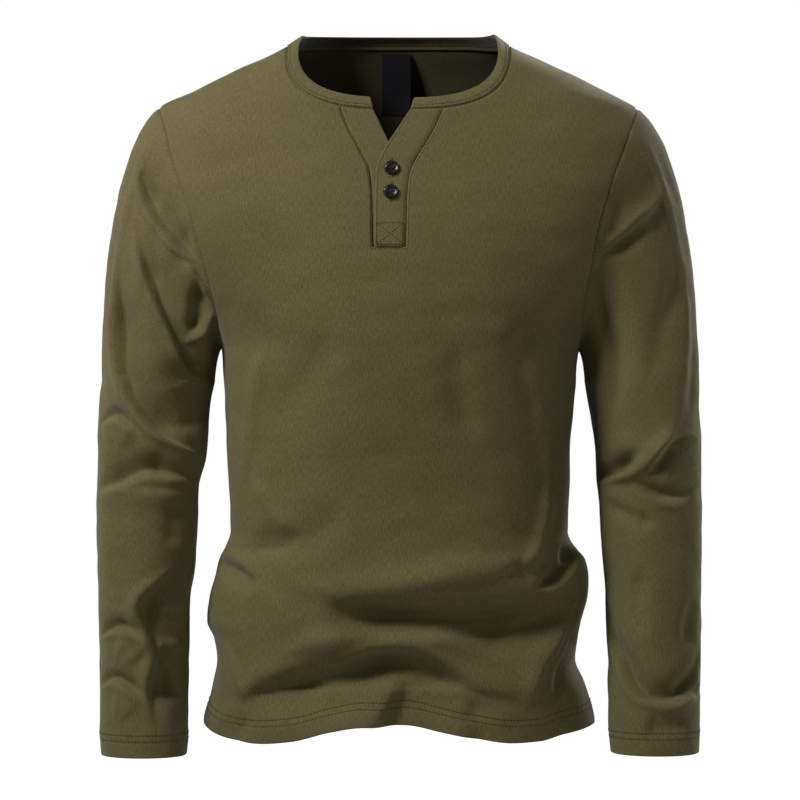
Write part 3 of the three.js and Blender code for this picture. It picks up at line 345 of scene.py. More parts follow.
SLEEVE_FOLDS = {
    ("right", "front"): [
        ("shoulder crease", -10, 17, 4, 0.3, [
            (-261, -116), (-257, -149), (-246, -171), (-230, -191), (-213, -209), (-188, -229),
        ]),
        ("shoulder hollow", -3, 14, 14, 0, [(-240, -112), (-229, -149), (-212, -184)]),
        ("armpit edge", 5, 4, 9, 0, [(-217, -217), (-200, -241), (-186, -263)]),
        ("upper arm crease", -10, 16, 4.2, 0.3, [
            (-266, -170), (-255, -222), (-241, -256), (-224, -291), (-208, -324), (-190, -368),
        ]),
        ("outer crease", -13, 19, 4.6, 0.3, [
            (-279, -196), (-284, -249), (-285, -277), (-283, -304), (-275, -339), (-260, -366),
            (-240, -386), (-218, -401), (-186, -422),
        ]),
        ("inner arm fall", -7, 26, 30, 0, [(-214, -300), (-208, -350), (-206, -400)]),
        ("inner fore fall", -8, 24, 30, 0, [(-216, -500), (-214, -570), (-216, -640), (-220, -700)]),
        ("armpit pocket", -9, 8, 8, 0, [(-203, -235), (-202, -259), (-203, -281), (-209, -297)]),
        ("armpit ridge", 5, 5, 5, 0, [(-214, -304), (-198, -291), (-183, -271)]),
        ("elbow crease upper", -6, 7, 4, 0.3, [
            (-302, -385), (-292, -376), (-284, -374), (-272, -381), (-257, -396),
        ]),
        ("elbow bump", 3, 16, 16, 0, [(-300, -396), (-284, -391), (-262, -402)]),
        ("elbow crease", -11, 14, 5, 0.2, [
            (-306, -452), (-288, -441), (-270, -434), (-250, -428), (-232, -431), (-200, -441),
        ]),
        ("elbow ridge", 3, 6, 12, 0, [(-306, -462), (-275, -452), (-250, -454), (-200, -459)]),
        ("elbow hollow", -4, 16, 12, 0, [(-216, -457), (-226, -481), (-232, -509)]),
        ("forearm step", -13, 30, 6.5, 0.35, [
            (-208, -508), (-228, -536), (-242, -551), (-252, -566), (-249, -582), (-241, -598),
            (-236, -614), (-238, -631), (-244, -647), (-243, -664), (-238, -692),
        ]),
        ("forearm inner ridge", 5, 7, 9, 0, [(-216, -524), (-214, -561), (-217, -601)]),
        ("forearm cross ridge", 4, 6, 8, 0, [(-246, -606), (-226, -603), (-204, -609)]),
        ("wrist hollow", -5, 12, 12, 0, [(-230, -621), (-224, -643), (-228, -665)]),
        ("forearm nick", -6, 7, 4, 0.3, [
            (-301, -598), (-290, -588), (-278, -584), (-263, -589), (-251, -604),
        ]),
        ("forearm bump", 2.5, 16, 16, 0, [(-286, -603), (-272, -609), (-260, -621)]),
        ("wrist nick", -6, 7, 4, 0.3, [
            (-300, -647), (-292, -639), (-283, -637), (-265, -646), (-251, -664),
        ]),
        ("wrist bump", 2.5, 15, 15, 0, [(-288, -659), (-276, -663), (-264, -671)]),
    ],
    ("right", "back"): [
        ("elbow drag", -6, 8, 12, 0, [(-302, -430), (-265, -442), (-222, -432)]),
        ("elbow drag upper", -5, 7, 10, 0, [(-297, -395), (-260, -412), (-212, -425)]),
        ("elbow drag lower", -5, 7, 9, 0, [(-292, -470), (-255, -482), (-213, -470)]),
        ("elbow fan", -4, 6, 8, 0, [(-300, -356), (-270, -370), (-240, -392)]),
        ("upper arm drape", -5, 10, 12, 0, [(-270, -150), (-235, -210), (-210, -260)]),
        ("upper arm sag", -6, 9, 12, 0, [(-292, -250), (-260, -310), (-212, -352)]),
        ("forearm drag", -6, 8, 10, 0, [(-297, -556), (-270, -600), (-232, -632)]),
        ("forearm loop", -4, 7, 9, 0, [(-290, -516), (-262, -530), (-236, -556)]),
        ("wrist drag", -4, 8, 9, 0, [(-292, -660), (-255, -682), (-225, -670)]),
    ],
    ("left", "front"): [
        ("shoulder ridge", 2.5, 6, 12, 0, [
            (257, -127), (263, -139), (264, -151), (255, -165), (240, -179), (222, -195),
            (204, -209),
        ]),
        ("shoulder crease", -6, 12, 4, 0.25, [
            (266, -150), (254, -172), (240, -184), (225, -198), (209, -210), (186, -230),
        ]),
        ("shoulder hollow", -2.5, 16, 14, 0, [(246, -124), (247, -149), (230, -172)]),
        ("seam trough", -2.5, 11, 11, 0, [(216, -147), (211, -177), (202, -205)]),
        ("outer ridge", 3, 7, 16, 0, [
            (284, -209), (287, -249), (287, -274), (285, -309), (280, -354), (274, -383),
            (260, -403), (243, -419),
        ]),
        ("outer trough", -2, 7, 6, 0, [(295, -289), (293, -339), (289, -377)]),
        ("upper arm drape", -4, 15, 12, 0, [(284, -214), (271, -257), (259, -299), (247, -340)]),
        ("armpit fan", -7, 12, 12, 0, [(190, -246), (206, -286), (214, -336), (212, -390)]),
        ("elbow ridge", 8, 6, 9, 0, [(280, -372), (259, -407), (241, -425), (224, -436), (192, -443)]),
        ("elbow wedge", -14, 12, 5, 0, [(190, -437), (208, -433), (225, -426), (244, -408)]),
        ("elbow crease upper", -8, 9, 4, 0.3, [
            (301, -399), (285, -400), (272, -406), (260, -418), (246, -437),
        ]),
        ("elbow crease", -8, 8, 5, 0.2, [(232, -438), (250, -449), (265, -454), (282, -454), (302, -442)]),
        ("elbow fan", -5, 7, 10, 0, [(206, -459), (230, -475), (260, -481)]),
        ("forearm loop", -11, 14, 5, 0.35, [
            (203, -560), (209, -597), (217, -619), (228, -637), (242, -650), (260, -656),
            (276, -653), (288, -642), (296, -626), (303, -588),
        ]),
        ("inner fore fall", -7, 30, 22, 0, [(218, -470), (212, -540), (212, -600), (216, -690)]),
        ("forearm fall", -5, 10, 9, 0, [(293, -555), (288, -584), (282, -613)]),
        ("forearm drift", -4, 10, 10, 0, [(242, -519), (238, -559), (240, -599)]),
        ("wrist hollow", -4, 10, 10, 0, [(240, -681), (262, -685), (290, -675)]),
        ("wrist notch", -5, 6, 6, 0, [(302, -651), (290, -649), (280, -655)]),
    ],
    ("left", "back"): [
        ("elbow drag", -6, 12, 8, 0, [(300, -440), (262, -454), (220, -440)]),
        ("elbow drag upper", -5, 10, 7, 0, [(294, -402), (258, -416), (212, -432)]),
        ("elbow drag lower", -5, 9, 7, 0, [(290, -482), (252, -492), (212, -476)]),
        ("elbow fan", -4, 8, 6, 0, [(298, -362), (266, -380), (236, -404)]),
        ("upper arm drape", -5, 12, 10, 0, [(272, -160), (238, -216), (212, -268)]),
        ("upper arm sag", -5, 12, 9, 0, [(290, -262), (256, -324), (214, -358)]),
        ("forearm drag", -6, 10, 8, 0, [(294, -544), (266, -592), (230, -618)]),
        ("wrist drag", -4, 9, 8, 0, [(290, -652), (256, -674), (226, -664)]),
    ],
}

# The body's form, before the folds.
body_track = {name: track(BODY, "z", name) for name in ("right", "left", "front", "back")}


def reach_x(side, z):
    return np.where(np.asarray(side) < 0, body_track["right"](z), body_track["left"](z))


def body_form(angle, z):
    s, c = np.sin(angle), np.cos(angle)
    depth = np.where(c > 0, body_track["front"](z), body_track["back"](z))
    return stack(reach_x(s, z) * power(s, 2 / ROUND), -depth * power(c, 2 / ROUND), z)


def front_angle(x, z):
    """The angle from the centre front at which the form lies at x."""
    share = np.minimum(1, np.abs(x) / reach_x(x, z))
    return np.sign(x) * np.arcsin(share ** (ROUND / 2))


def facing(surface, u, v, step_u, step_v, flip=1):
    """Directions out of a surface, from points close by."""
    across = surface(u + step_u, v) - surface(u - step_u, v)
    along = surface(u, v + step_v) - surface(u, v - step_v)
    return unit(np.cross(across, along)) * flip


def spline(marks, count):
    """Points on a smooth curve through flat marks, evenly spaced in its parameter."""
    p = np.array(marks, float)
    p = np.vstack([2 * p[0] - p[1], p, 2 * p[-1] - p[-2]])
    at = np.linspace(0, len(marks) - 1, count)
    i = np.minimum(at.astype(int), len(marks) - 2)
    t = (at - i)[:, None]
    a, b, c, d = p[i], p[i + 1], p[i + 2], p[i + 3]
    bend = (2 * a - 5 * b + 4 * c - d) * t * t + (3 * b - 3 * c + d - a) * t ** 3
    return b + ((c - a) * t + bend) / 2


FOLD_STEPS = 26
FOLD_FADE = 0.3
FOLD_POINT = 0.5  # share of its width that a fold keeps at its ends
FOLD_UNEVEN = 0.16
LIP_AT = 2.0
LIP_WIDTH = 1.1


def lay_folds(surface, place, rows):
    """The folds as lines of points on a form; place turns a mark into the form's parameters."""
    laid = []
    for _, depth, left, right, lip, marks in rows:
        at = spline([place(x, z) for x, z in marks], FOLD_STEPS + 1)
        points = surface(at[:, 0], at[:, 1])
        reach = 2.6 * max(left, right)
        laid.append((points, points.min(0) - reach, points.max(0) + reach, depth, left, right, lip))
    return laid


def push(folds, points, normals):
    """How far all the folds together move each point out of the cloth."""
    flat, out = points.reshape(-1, 3), normals.reshape(-1, 3)
    total = np.zeros(len(flat))
    for line, low, high, depth, left, right, lip in folds:
        near = np.nonzero(np.all((flat > low) & (flat < high), axis=1))[0]
        if not len(near):
            continue
        p, n = flat[near], out[near]
        nearest = np.full(len(p), np.inf)
        along = np.zeros(len(p))
        hand = np.ones(len(p))
        for i in range(FOLD_STEPS):
            run = line[i + 1] - line[i]
            off = p - line[i]
            t = np.clip(off @ run / (run @ run), 0, 1)
            off = off - t[:, None] * run
            gap = (off * off).sum(1)
            closer = gap < nearest
            nearest[closer] = gap[closer]
            along[closer] = (i + t[closer]) / FOLD_STEPS
            hand[closer] = (np.cross(run, off[closer]) * n[closer]).sum(1)
        fade = ease(along / FOLD_FADE) * ease((1 - along) / FOLD_FADE)
        uneven = 1 + FOLD_UNEVEN * np.sin(11 * along + 3 * depth + left)
        s = np.sqrt(nearest) / (np.where(hand > 0, left, right) * mix(FOLD_POINT, 1, fade))
        steep = (hand > 0) == (left < right)
        rim = np.where(steep, np.exp(-(((s - LIP_AT) / LIP_WIDTH) ** 2)), 0)
        shape = np.exp(-s * s) - lip * rim
        total[near] += depth * shape * uneven * fade
    return total.reshape(points.shape[:-1])


def ripple(points, seed, size, short, long, count=14):
    """A soft unevenness: waves of mixed lengths and directions, the same on every run."""
    random = np.random.default_rng(seed)
    total = 0
    for _ in range(count):
        way = unit(random.normal(size=3))
        length = random.uniform(short, long)
        phase = random.uniform(0, 2 * math.pi)
        total = total + np.sin(2 * math.pi * (points @ way) / length + phase) * length / long
    return total * size / math.sqrt(count)


body_folds = lay_folds(body_form, lambda x, z: (float(front_angle(x, z)), z), FRONT_FOLDS)
body_folds += lay_folds(body_form, lambda x, z: (math.pi - float(front_angle(x, z)), z), BACK_FOLDS)


def body(angle, z):
    """The body's folded surface."""
    point = body_form(angle, z)
    normal = facing(body_form, angle, z, 0.01, 1)
    uneven = ripple(point, 5, 1.1, 40, 150) + ripple(point, 6, 0.32, 14, 40)
    return point + normal * (push(body_folds, point, normal) + uneven)[..., None]


def body_facing(angle, z):
    return facing(body, angle, z, 0.01, 1)


hem_track = track(HEM, "angle", "z")
armhole_track = {name: track(ARMHOLE, "z", name) for name in SIDE}
placket_track = {name: track(PLACKET, "z", name) for name in PLACKET if name != "z"}


def hem_z(angle):
    degrees = np.degrees(angle)
    return hem_track(np.where(degrees < -90, degrees + 360, degrees))


def armhole_z(q):
    return mix(ARMPIT_Z, SHOULDER_Z, (1 - np.cos(np.pi * q)) / 2)


def armhole_lean(q, side, face):
    z = armhole_z(q)
    out = BACK_ARMHOLE * np.sin(np.pi * q) ** 2 if face == "back" else 0
    x = armhole_track["right" if side < 0 else "left"](z) + out
    return np.abs(front_angle(side * x, z))


def round_from(lean, side, face):
    return side * lean if face == "front" else side * (math.pi - lean)


def neck_z(x):
    share = np.minimum(1, np.abs(x - NECK_CENTRE) / NECK_HALF)
    return -NECK_DROP * (1 - share ** NECK_POWER) ** (1 / NECK_POWER)


def neck_turn(x):
    return np.degrees(front_angle(x, neck_z(x)))


def neck_seam(turn):
    """Angle and height of the neck seam; turn is 0 at the centre front and 180 at the centre back."""
    angle = np.radians(turn)
    s, c = np.sin(angle), np.cos(angle)
    side = np.where(s < 0, -1, 1)
    low = np.full(np.shape(angle), -float(NECK_DROP))
    high = np.zeros(np.shape(angle))
    for _ in range(30):
        z = (low + high) / 2
        reach = NECK_HALF * (1 - (-z / NECK_DROP) ** NECK_POWER) ** (1 / NECK_POWER)
        over = reach_x(side, z) * np.abs(s) ** (2 / ROUND) > reach + side * NECK_CENTRE
        low, high = np.where(over, z, low), np.where(over, high, z)
    return angle, np.where(c < 0, NECK_BACK_RISE * ease(-c), (low + high) / 2)


def even_turns(start, end):
    """The turn at each share of a stretch of the neck seam's length."""
    turns = np.linspace(start, end, 500)
    lengths = run_lengths(body_form(*neck_seam(turns)))
    return lambda share: np.interp(share, lengths / lengths[-1], turns)


SHOULDER_SHARE = {"front": 5 / 12, "back": 5 / 12}
PLACKET_RISE = 5 / 15


def half_panel(side, face, t, lower, upper):
    """Angle and height over one half of a panel: t from side to middle, rows below and above the armpit."""
    seam = placket_track["under_seam" if side < 0 else "over_seam"]
    shoulder = SHOULDER_SHARE[face]

    def inner_lean(z):
        return np.abs(front_angle(seam(z), z)) if face == "front" else np.zeros(np.shape(z))

    end = neck_turn(seam(0)) if face == "front" else 180 * side
    turn = even_turns(90 * side, end)(np.clip((t - shoulder) / (1 - shoulder), 0, 1))
    neck_angle, neck_height = neck_seam(turn)
    neck_lean = np.abs(neck_angle) if face == "front" else math.pi - np.abs(neck_angle)
    top_lean = np.where(t <= shoulder, math.pi / 2, neck_lean)
    top_z = np.where(t <= shoulder, mix(SHOULDER_Z, 0, t / shoulder), neck_height)
    low_angle = round_from(mix(math.pi / 2, inner_lean(PLACKET_Z), t), side, face)[None, :]
    hem = hem_z(low_angle)
    low_z = hem + lower[:, None] * (ARMPIT_Z - hem)
    q = upper[:, None]
    if face == "front":
        inner_z = np.where(
            q <= PLACKET_RISE,
            mix(ARMPIT_Z, PLACKET_Z, q / PLACKET_RISE),
            mix(PLACKET_Z, top_z[-1], (q - PLACKET_RISE) / (1 - PLACKET_RISE)),
        )
    else:
        inner_z = mix(ARMPIT_Z, top_z[-1], q)
    share = (top_lean - top_lean[-1]) / (top_lean[0] - top_lean[-1])
    in_lean = np.where(q >= 1, top_lean[-1], inner_lean(inner_z))
    lean = mix(in_lean, armhole_lean(q, side, face), mix(1 - t, share, q ** 3))
    in_grow = (inner_z - ARMPIT_Z) / (top_z[-1] - ARMPIT_Z)
    out_grow = (armhole_z(q) - ARMPIT_Z) / (SHOULDER_Z - ARMPIT_Z)
    high_z = ARMPIT_Z + (top_z - ARMPIT_Z) * mix(in_grow, out_grow, (1 - t) ** 2)
    low_angle = np.broadcast_to(low_angle, low_z.shape)
    angle = np.vstack([low_angle, round_from(lean, side, face)[1:]])
    return angle, np.vstack([low_z, high_z[1:]])


def grid_facing(points, closed=False, flip=1):
    """Directions out of a grid of points, rows first."""
    along = np.gradient(points, axis=0)
    if closed:
        wrapped = np.concatenate([points[:, -1:], points, points[:, :1]], axis=1)
        across = (wrapped[:, 2:] - wrapped[:, :-2]) / 2
    else:
        across = np.gradient(points, axis=1)
    return unit(np.cross(across, along)) * flip


def lengths_along(points, axis):
    """Distance of each grid point from the first one along an axis, on the cloth."""
    step = np.linalg.norm(np.diff(points, axis=axis), axis=-1)
    start = np.zeros_like(np.take(step, [0], axis=axis))
    return np.concatenate([start, np.cumsum(step, axis=axis)], axis=axis)


def mesh_object(name, vertices, faces, uv=None, inside=None):
    """A new object from points in millimetres, with the cloth's own coordinates in metres as its UV map."""
    mesh = bpy.data.meshes.new(name)
    mesh.from_pydata((np.asarray(vertices) * MM).tolist(), [], faces)
    if uv is not None:
        layer = mesh.uv_layers.new(name="cloth")
        index = np.zeros(len(mesh.loops), np.int32)
        mesh.loops.foreach_get("vertex_index", index)
        layer.data.foreach_set("uv", (np.asarray(uv) * MM)[index].astype(np.float32).ravel())
    mesh.polygons.foreach_set("use_smooth", [True] * len(mesh.polygons))
    if inside is not None:
        mesh.polygons.foreach_set("material_index", inside)
    mesh.validate()
    mesh.update()
    piece = bpy.data.objects.new(name, mesh)
    bpy.context.scene.collection.objects.link(piece)
    return piece


def shell(name, points, normals, outer, inner, uv, closed=False, skip=None, two_sided=False):
    """A closed cloth shell: the grid moved out by outer and in by inner, joined round its edges."""
    rows, columns = points.shape[:2]
    out = points + normals * np.broadcast_to(outer, (rows, columns))[..., None]
    back = points - normals * np.broadcast_to(inner, (rows, columns))[..., None]
    vertices = np.stack([out, back], axis=2).reshape(-1, 3)
    uvs = np.repeat(uv.reshape(-1, 2), 2, axis=0)
    faces = []
    inside = []
    edges = {}
    for r in range(rows - 1):
        for c in range(columns if closed else columns - 1):
            if skip is not None and skip[r, c]:
                continue
            n = (c + 1) % columns
            loop = [2 * (r * columns + c), 2 * (r * columns + n)]
            loop += [2 * ((r + 1) * columns + n), 2 * ((r + 1) * columns + c)]
            faces.append(loop)
            faces.append([i + 1 for i in reversed(loop)])
            # The inner layer's faces take a piece's second material: on the knit, the darker copy that
            # paints shade on the inside.
            inside += [0, 1]
            for k in range(4):
                start, end = loop[k], loop[(k + 1) % 4]
                if edges.pop((end, start), None) is None:
                    edges[(start, end)] = True
    for start, end in edges:
        faces.append([end, start, start + 1, end + 1])
        inside.append(0)
    used = np.zeros(len(vertices), bool)
    used[np.concatenate([np.array(face) for face in faces])] = True
    renumber = np.cumsum(used) - 1
    faces = [[int(renumber[i]) for i in face] for face in faces]
    return mesh_object(name, vertices[used], faces, uvs[used], inside if two_sided else None)


def dip(distance):
    """How far cloth sinks at a distance from a seam."""
    return -SEAM_DIP * np.exp(-((distance / SEAM_DIP_WIDTH) ** 2))


def pucker(along, height, middle, width, size, seed):
    """Small gathers along a row of stitches."""
    wave = np.sin(2 * math.pi * (along / 9.0 + 0.35 * np.sin(along / 23.0 + seed)))
    wave = wave + 0.6 * np.sin(2 * math.pi * along / 5.3 + 2 * seed)
    return size * wave * np.exp(-(((height - middle) / width) ** 2))


def needle_groove(height, rows, width):
    """How far cloth is drawn in along its rows of stitches."""
    return -NEEDLE_SINK * sum(np.exp(-(((height - row) / width) ** 2)) for row in rows)


EDGE_ROWS = np.array([0.0, 0.35, 0.9, 1.8])  # rows that round a folded edge, in millimetres
EDGE_THICK = np.array([0.25, 0.7, 0.93, 1.0])


def edge_shares(length, count):
    """Shares of a length: close rows at a folded edge, then even ones."""
    return np.concatenate([EDGE_ROWS[:-1], np.linspace(EDGE_ROWS[-1], length, count)]) / length


def hem_profile(height, top):
    """1 on the turned-up cloth, 0 above it."""
    return 1 - ease((height - (top - 0.6)) / 1.6)


def panel_piece(name, face, half_columns, notch_columns, lower_rows, upper_rows):
    """The front or the back: two half panels, and at the front the columns under the placket."""
    t = np.linspace(0, 1, half_columns + 1)
    lower = edge_shares(ARMPIT_Z - float(hem_z(0.0)), lower_rows)
    upper = np.linspace(0, 1, upper_rows + 1)
    first, second = (-1, 1) if face == "front" else (1, -1)
    angle_a, z_a = half_panel(first, face, t, lower, upper)
    angle_b, z_b = half_panel(second, face, t, lower, upper)
    across = lengths_along(body_form(angle_a, z_a), 1), lengths_along(body_form(angle_b, z_b), 1)
    skip = None
    if face == "front":
        share = np.linspace(0, 1, notch_columns + 1)[1:-1]
        angle_m = mix(angle_a[:, -1:], angle_b[:, -1:], share)
        z_m = mix(z_a[:, -1:], z_b[:, -1:], share)
        below = len(lower)
        hem = hem_z(angle_m[:below])
        z_m[:below] = hem + lower[:, None] * (ARMPIT_Z - hem)
        angle = np.hstack([angle_a, angle_m, angle_b[:, ::-1]])
        z = np.hstack([z_a, z_m, z_b[:, ::-1]])
        notch_row = len(lower) - 1 + round(PLACKET_RISE * upper_rows)
        skip = np.zeros((angle.shape[0] - 1, angle.shape[1] - 1), bool)
        skip[notch_row:, half_columns : half_columns + notch_columns] = True
        far = np.full(z_m.shape, 99.0)
        from_side = np.hstack([across[0], far, across[1][:, ::-1]])
    else:
        angle = np.hstack([angle_a, np.where(angle_b < 0, angle_b + 2 * math.pi, angle_b)[:, -2::-1]])
        z = np.hstack([z_a, z_b[:, -2::-1]])
        from_side = np.hstack([across[0], across[1][:, -2::-1]])
    form = body_form(angle, z)
    points = body(angle, z)
    normals = grid_facing(points)
    height = lengths_along(form, 0)
    along = lengths_along(form, 1)
    seam_dip = dip(from_side)
    is_shoulder = np.abs(np.abs(np.sin(angle[-1])) - 1) < 1e-6
    from_top = height[-1:] - height
    seam_dip = seam_dip + np.where(is_shoulder[None, :], dip(from_top), 0)
    middle = sum(HEM_LINES) / 2
    gather = pucker(along, height, middle, 9.0, 0.16, 1.0 if face == "front" else 2.0)
    groove = needle_groove(height, HEM_LINES, 1.0)
    points = points + normals * (seam_dip + gather + groove)[..., None]
    turned = hem_profile(height, HEM_LINES[1] + TURNED_ABOVE)
    thin = np.interp(height, EDGE_ROWS, EDGE_THICK)
    outer = (KNIT / 2 + TURNED_OUT * turned) * thin
    inner = (KNIT / 2 + HEM_TURNED_IN * turned) * thin
    uv = np.stack([along - along[:, along.shape[1] // 2][:, None], z], axis=-1)
    return shell(name, points, grid_facing(points), outer, inner, uv, skip=skip, two_sided=True)


# The sleeves
LOOP_SAMPLES = 720
FRONT_CROWD = 0.38  # how much closer the columns of a sleeve's mesh lie at its front


def make_sleeve(name):
    """A sleeve's folded surface; turn 0 armpit, 0.25 front, 0.5 shoulder; row 0-1 head, 1-2 arm."""
    side = SIDE[name]
    turn = np.arange(LOOP_SAMPLES) / LOOP_SAMPLES

    def seam_at(k):
        front = k <= 0.5
        q = np.where(front, 2 * k, 2 - 2 * k)
        lean = np.where(front, armhole_lean(q, side, "front"), armhole_lean(q, side, "back"))
        angle = np.where(front, side * lean, side * (math.pi - lean))
        return angle, armhole_z(q)

    points = body(*seam_at(turn))
    normals = body_facing(*seam_at(turn))
    run = unit(np.roll(points, -1, axis=0) - np.roll(points, 1, axis=0))
    lead = unit(np.cross(run, normals) * side)
    lead[:, 0] += side * ARMPIT_LEAN * np.maximum(0, np.cos(2 * math.pi * turn)) ** 2
    lead = unit(lead)
    ring = {column: track(SLEEVE[name], "z", column) for column in ("inner", "outer", "front", "back")}

    def level(k, z):
        c = power(np.cos(2 * math.pi * k), 2 / SLEEVE_ROUND)
        s = power(np.sin(2 * math.pi * k), 2 / SLEEVE_ROUND)
        x = mix(ring["inner"](z), ring["outer"](z), (1 - c) / 2)
        return stack(side * x, mix(ring["back"](z), -ring["front"](z), (1 + s) / 2), z)

    def loop(values, k):
        at = (k % 1) * LOOP_SAMPLES
        i = at.astype(int) % LOOP_SAMPLES
        t = (at - np.floor(at))[..., None]
        return mix(values[i], values[(i + 1) % LOOP_SAMPLES], t)

    def form(k, row):
        k, row = np.broadcast_arrays(np.asarray(k, float), np.asarray(row, float))
        h = np.clip(row, 0, 1)[..., None]
        start, end = loop(points, k), level(k, np.full(k.shape, float(CAP_Z)))
        pull = CAP_PULL * np.linalg.norm(end - start, axis=-1, keepdims=True)
        head = (1 + 2 * h) * (1 - h) ** 2 * start + h * (1 - h) ** 2 * pull * loop(lead, k)
        head = head + h * h * (3 - 2 * h) * end + h * h * (h - 1) * pull * np.array([0, 0, -1.0])
        arm = level(k, mix(CAP_Z, CUFF_Z[name], np.clip(row - 1, 0, 1.02)))
        return np.where((row > 1)[..., None], arm, head)

    def out(k, row):
        return facing(form, k, np.clip(row, 0.012, 1.99), 0.004, 0.006, -side)

    k, row = np.meshgrid(np.linspace(0, 1, 241), np.linspace(0, 2, 401))
    seen = form(k, row)

    def place(face):
        mine = k <= 0.5 if face == "front" else k >= 0.5

        def find(x, z):
            miss = np.hypot(seen[..., 0] - x, seen[..., 2] - z) + np.where(mine, 0, 1e6)
            i = np.unravel_index(miss.argmin(), miss.shape)
            return k[i], row[i]

        return find

    folds = []
    for face in ("front", "back"):
        folds += lay_folds(form, place(face), SLEEVE_FOLDS[(name, face)])

    def surface(k, row):
        k, row = np.broadcast_arrays(np.asarray(k, float), np.asarray(row, float))
        at, normal = form(k, row), out(k, row)
        uneven = ripple(at, 8 + side, 0.9, 30, 110) + ripple(at, 12 + side, 0.32, 12, 32)
        return at + normal * ((push(folds, at, normal) + uneven) * ease(row / 0.16))[..., None]

    return surface


def sleeve_piece(name, around, head_rows, arm_rows):
    """A sleeve's shell with its seam dips, cuff and gathers, and the surface that it lies on."""
    surface = make_sleeve(name)
    side = SIDE[name]
    head = np.linspace(0, 1, head_rows + 1)[:-1]
    length = CAP_Z - CUFF_Z[name]
    arm = 2 - edge_shares(length, arm_rows)[::-1]
    row = np.concatenate([head, arm])
    even = np.arange(around) / around
    k = even - FRONT_CROWD * (1 - np.cos(2 * math.pi * even)) / (2 * math.pi)
    points = surface(k[None, :], row[:, None])
    normals = grid_facing(points, closed=True, flip=-side)
    down = lengths_along(points, 0)
    up = down[-1:] - down
    level_up = np.broadcast_to(((2 - row) * length)[:, None], up.shape)
    wrapped = np.concatenate([points, points[:, :1]], axis=1)
    girth = lengths_along(wrapped, 1)
    from_under = np.minimum(girth[:, :-1], girth[:, -1:] - girth[:, :-1])
    seams = dip(down) + 0.6 * dip(from_under) * ease(row / 0.1)[:, None]
    gather = pucker(girth[:, :-1], level_up, sum(CUFF_LINES) / 2, 8.0, 0.14, 3.0 + side)
    cap_gather = pucker(girth[:, :-1], down, 6.0, 7.0, 0.12, 5.0 + side)
    groove = needle_groove(level_up, CUFF_LINES, 1.0)
    points = points + normals * (seams + gather + cap_gather + groove)[..., None]
    turned = hem_profile(level_up, CUFF_LINES[1] + TURNED_ABOVE)
    thin = np.interp(level_up, EDGE_ROWS, EDGE_THICK)
    normals = grid_facing(points, closed=True, flip=-side)
    outer = (KNIT / 2 + TURNED_OUT * turned) * thin
    inner = (KNIT / 2 + CUFF_TURNED_IN * turned) * thin
    uv = np.stack([girth[:, :-1], -down], axis=-1)
    piece = shell("cloth_sleeve_" + name, points, normals, outer, inner, uv, True, two_sided=True)
    return piece, surface


# The neckband
def band_turns():
    whole = [
        np.linspace(neck_turn(placket_track["over_edge"](0)), 90, 400),
        np.linspace(90, 270, 400)[1:],
        360 + np.linspace(-90, neck_turn(placket_track["under_edge"](0)), 400)[1:],
    ]
    turns = np.concatenate(whole)
    lengths = run_lengths(body_form(*neck_seam(turns)))
    return lambda share: np.interp(share, lengths / lengths[-1], turns), lengths[-1]


def soften(points, spacing, reach):
    """A run of evenly spaced points, rounded off over a reach on either side."""
    half = int(3 * reach / spacing)
    weight = np.exp(-0.5 * (np.arange(-half, half + 1) * spacing / reach) ** 2)
    padded = np.pad(points, ((half, half), (0, 0)), mode="reflect", reflect_type="odd")
    return np.stack([np.convolve(padded[:, i], weight / weight.sum(), "valid") for i in range(3)], axis=-1)


def band_guides():
    """The neckband's knee and top edge round the neck, rounded where they pass over the shoulders."""
    dense = np.linspace(-60, 420, 2400)
    lengths = run_lengths(body_form(*neck_seam(dense)))
    turn = np.interp(np.linspace(0, lengths[-1], 900), lengths, dense)
    angle, z = neck_seam(turn)
    foot = body(angle, z)
    run = body(*neck_seam(turn + 0.6)) - body(*neck_seam(turn - 0.6))
    out = unit(np.cross(body_facing(angle, z), run))
    s, c = np.sin(np.radians(turn)), np.cos(np.radians(turn))
    rise = mix(0.8, np.where(c > 0, 0.76, 0.52), c * c)
    lean = unit(stack(-0.8 * s, np.where(c > 0, 0.65, 0.55) * c, rise))
    size = (BAND_HEIGHT * (1 + BAND_SIDE * s ** 6))[:, None]
    knee = foot + out * size * BAND_BEND
    tip = knee + lean * size * (1 - BAND_BEND)
    spacing = lengths[-1] / 899
    return turn, soften(knee, spacing, 5.0), soften(tip, spacing, 16.0)


band_guide_turn, band_knee, band_tip = band_guides()


def band_surface(turn, height):
    """The neckband's middle surface: turn round the neck, height from the seam (0) to the edge (1)."""
    turn, height = np.broadcast_arrays(np.asarray(turn, float), np.asarray(height, float))

    def guide(points):
        return np.stack([np.interp(turn, band_guide_turn, points[:, i]) for i in range(3)], axis=-1)

    foot = body(*neck_seam(turn))
    h = height[..., None]
    return (1 - h) ** 2 * foot + 2 * h * (1 - h) * guide(band_knee) + h * h * guide(band_tip)


def band_share(share, height, length):
    """Shares of the seam's length at a height, with both ends leaning back from the opening."""
    cut = BAND_SLANT * (0.8 * height + 0.2 * height ** 8) / length
    return mix(cut, 1 - cut, share)


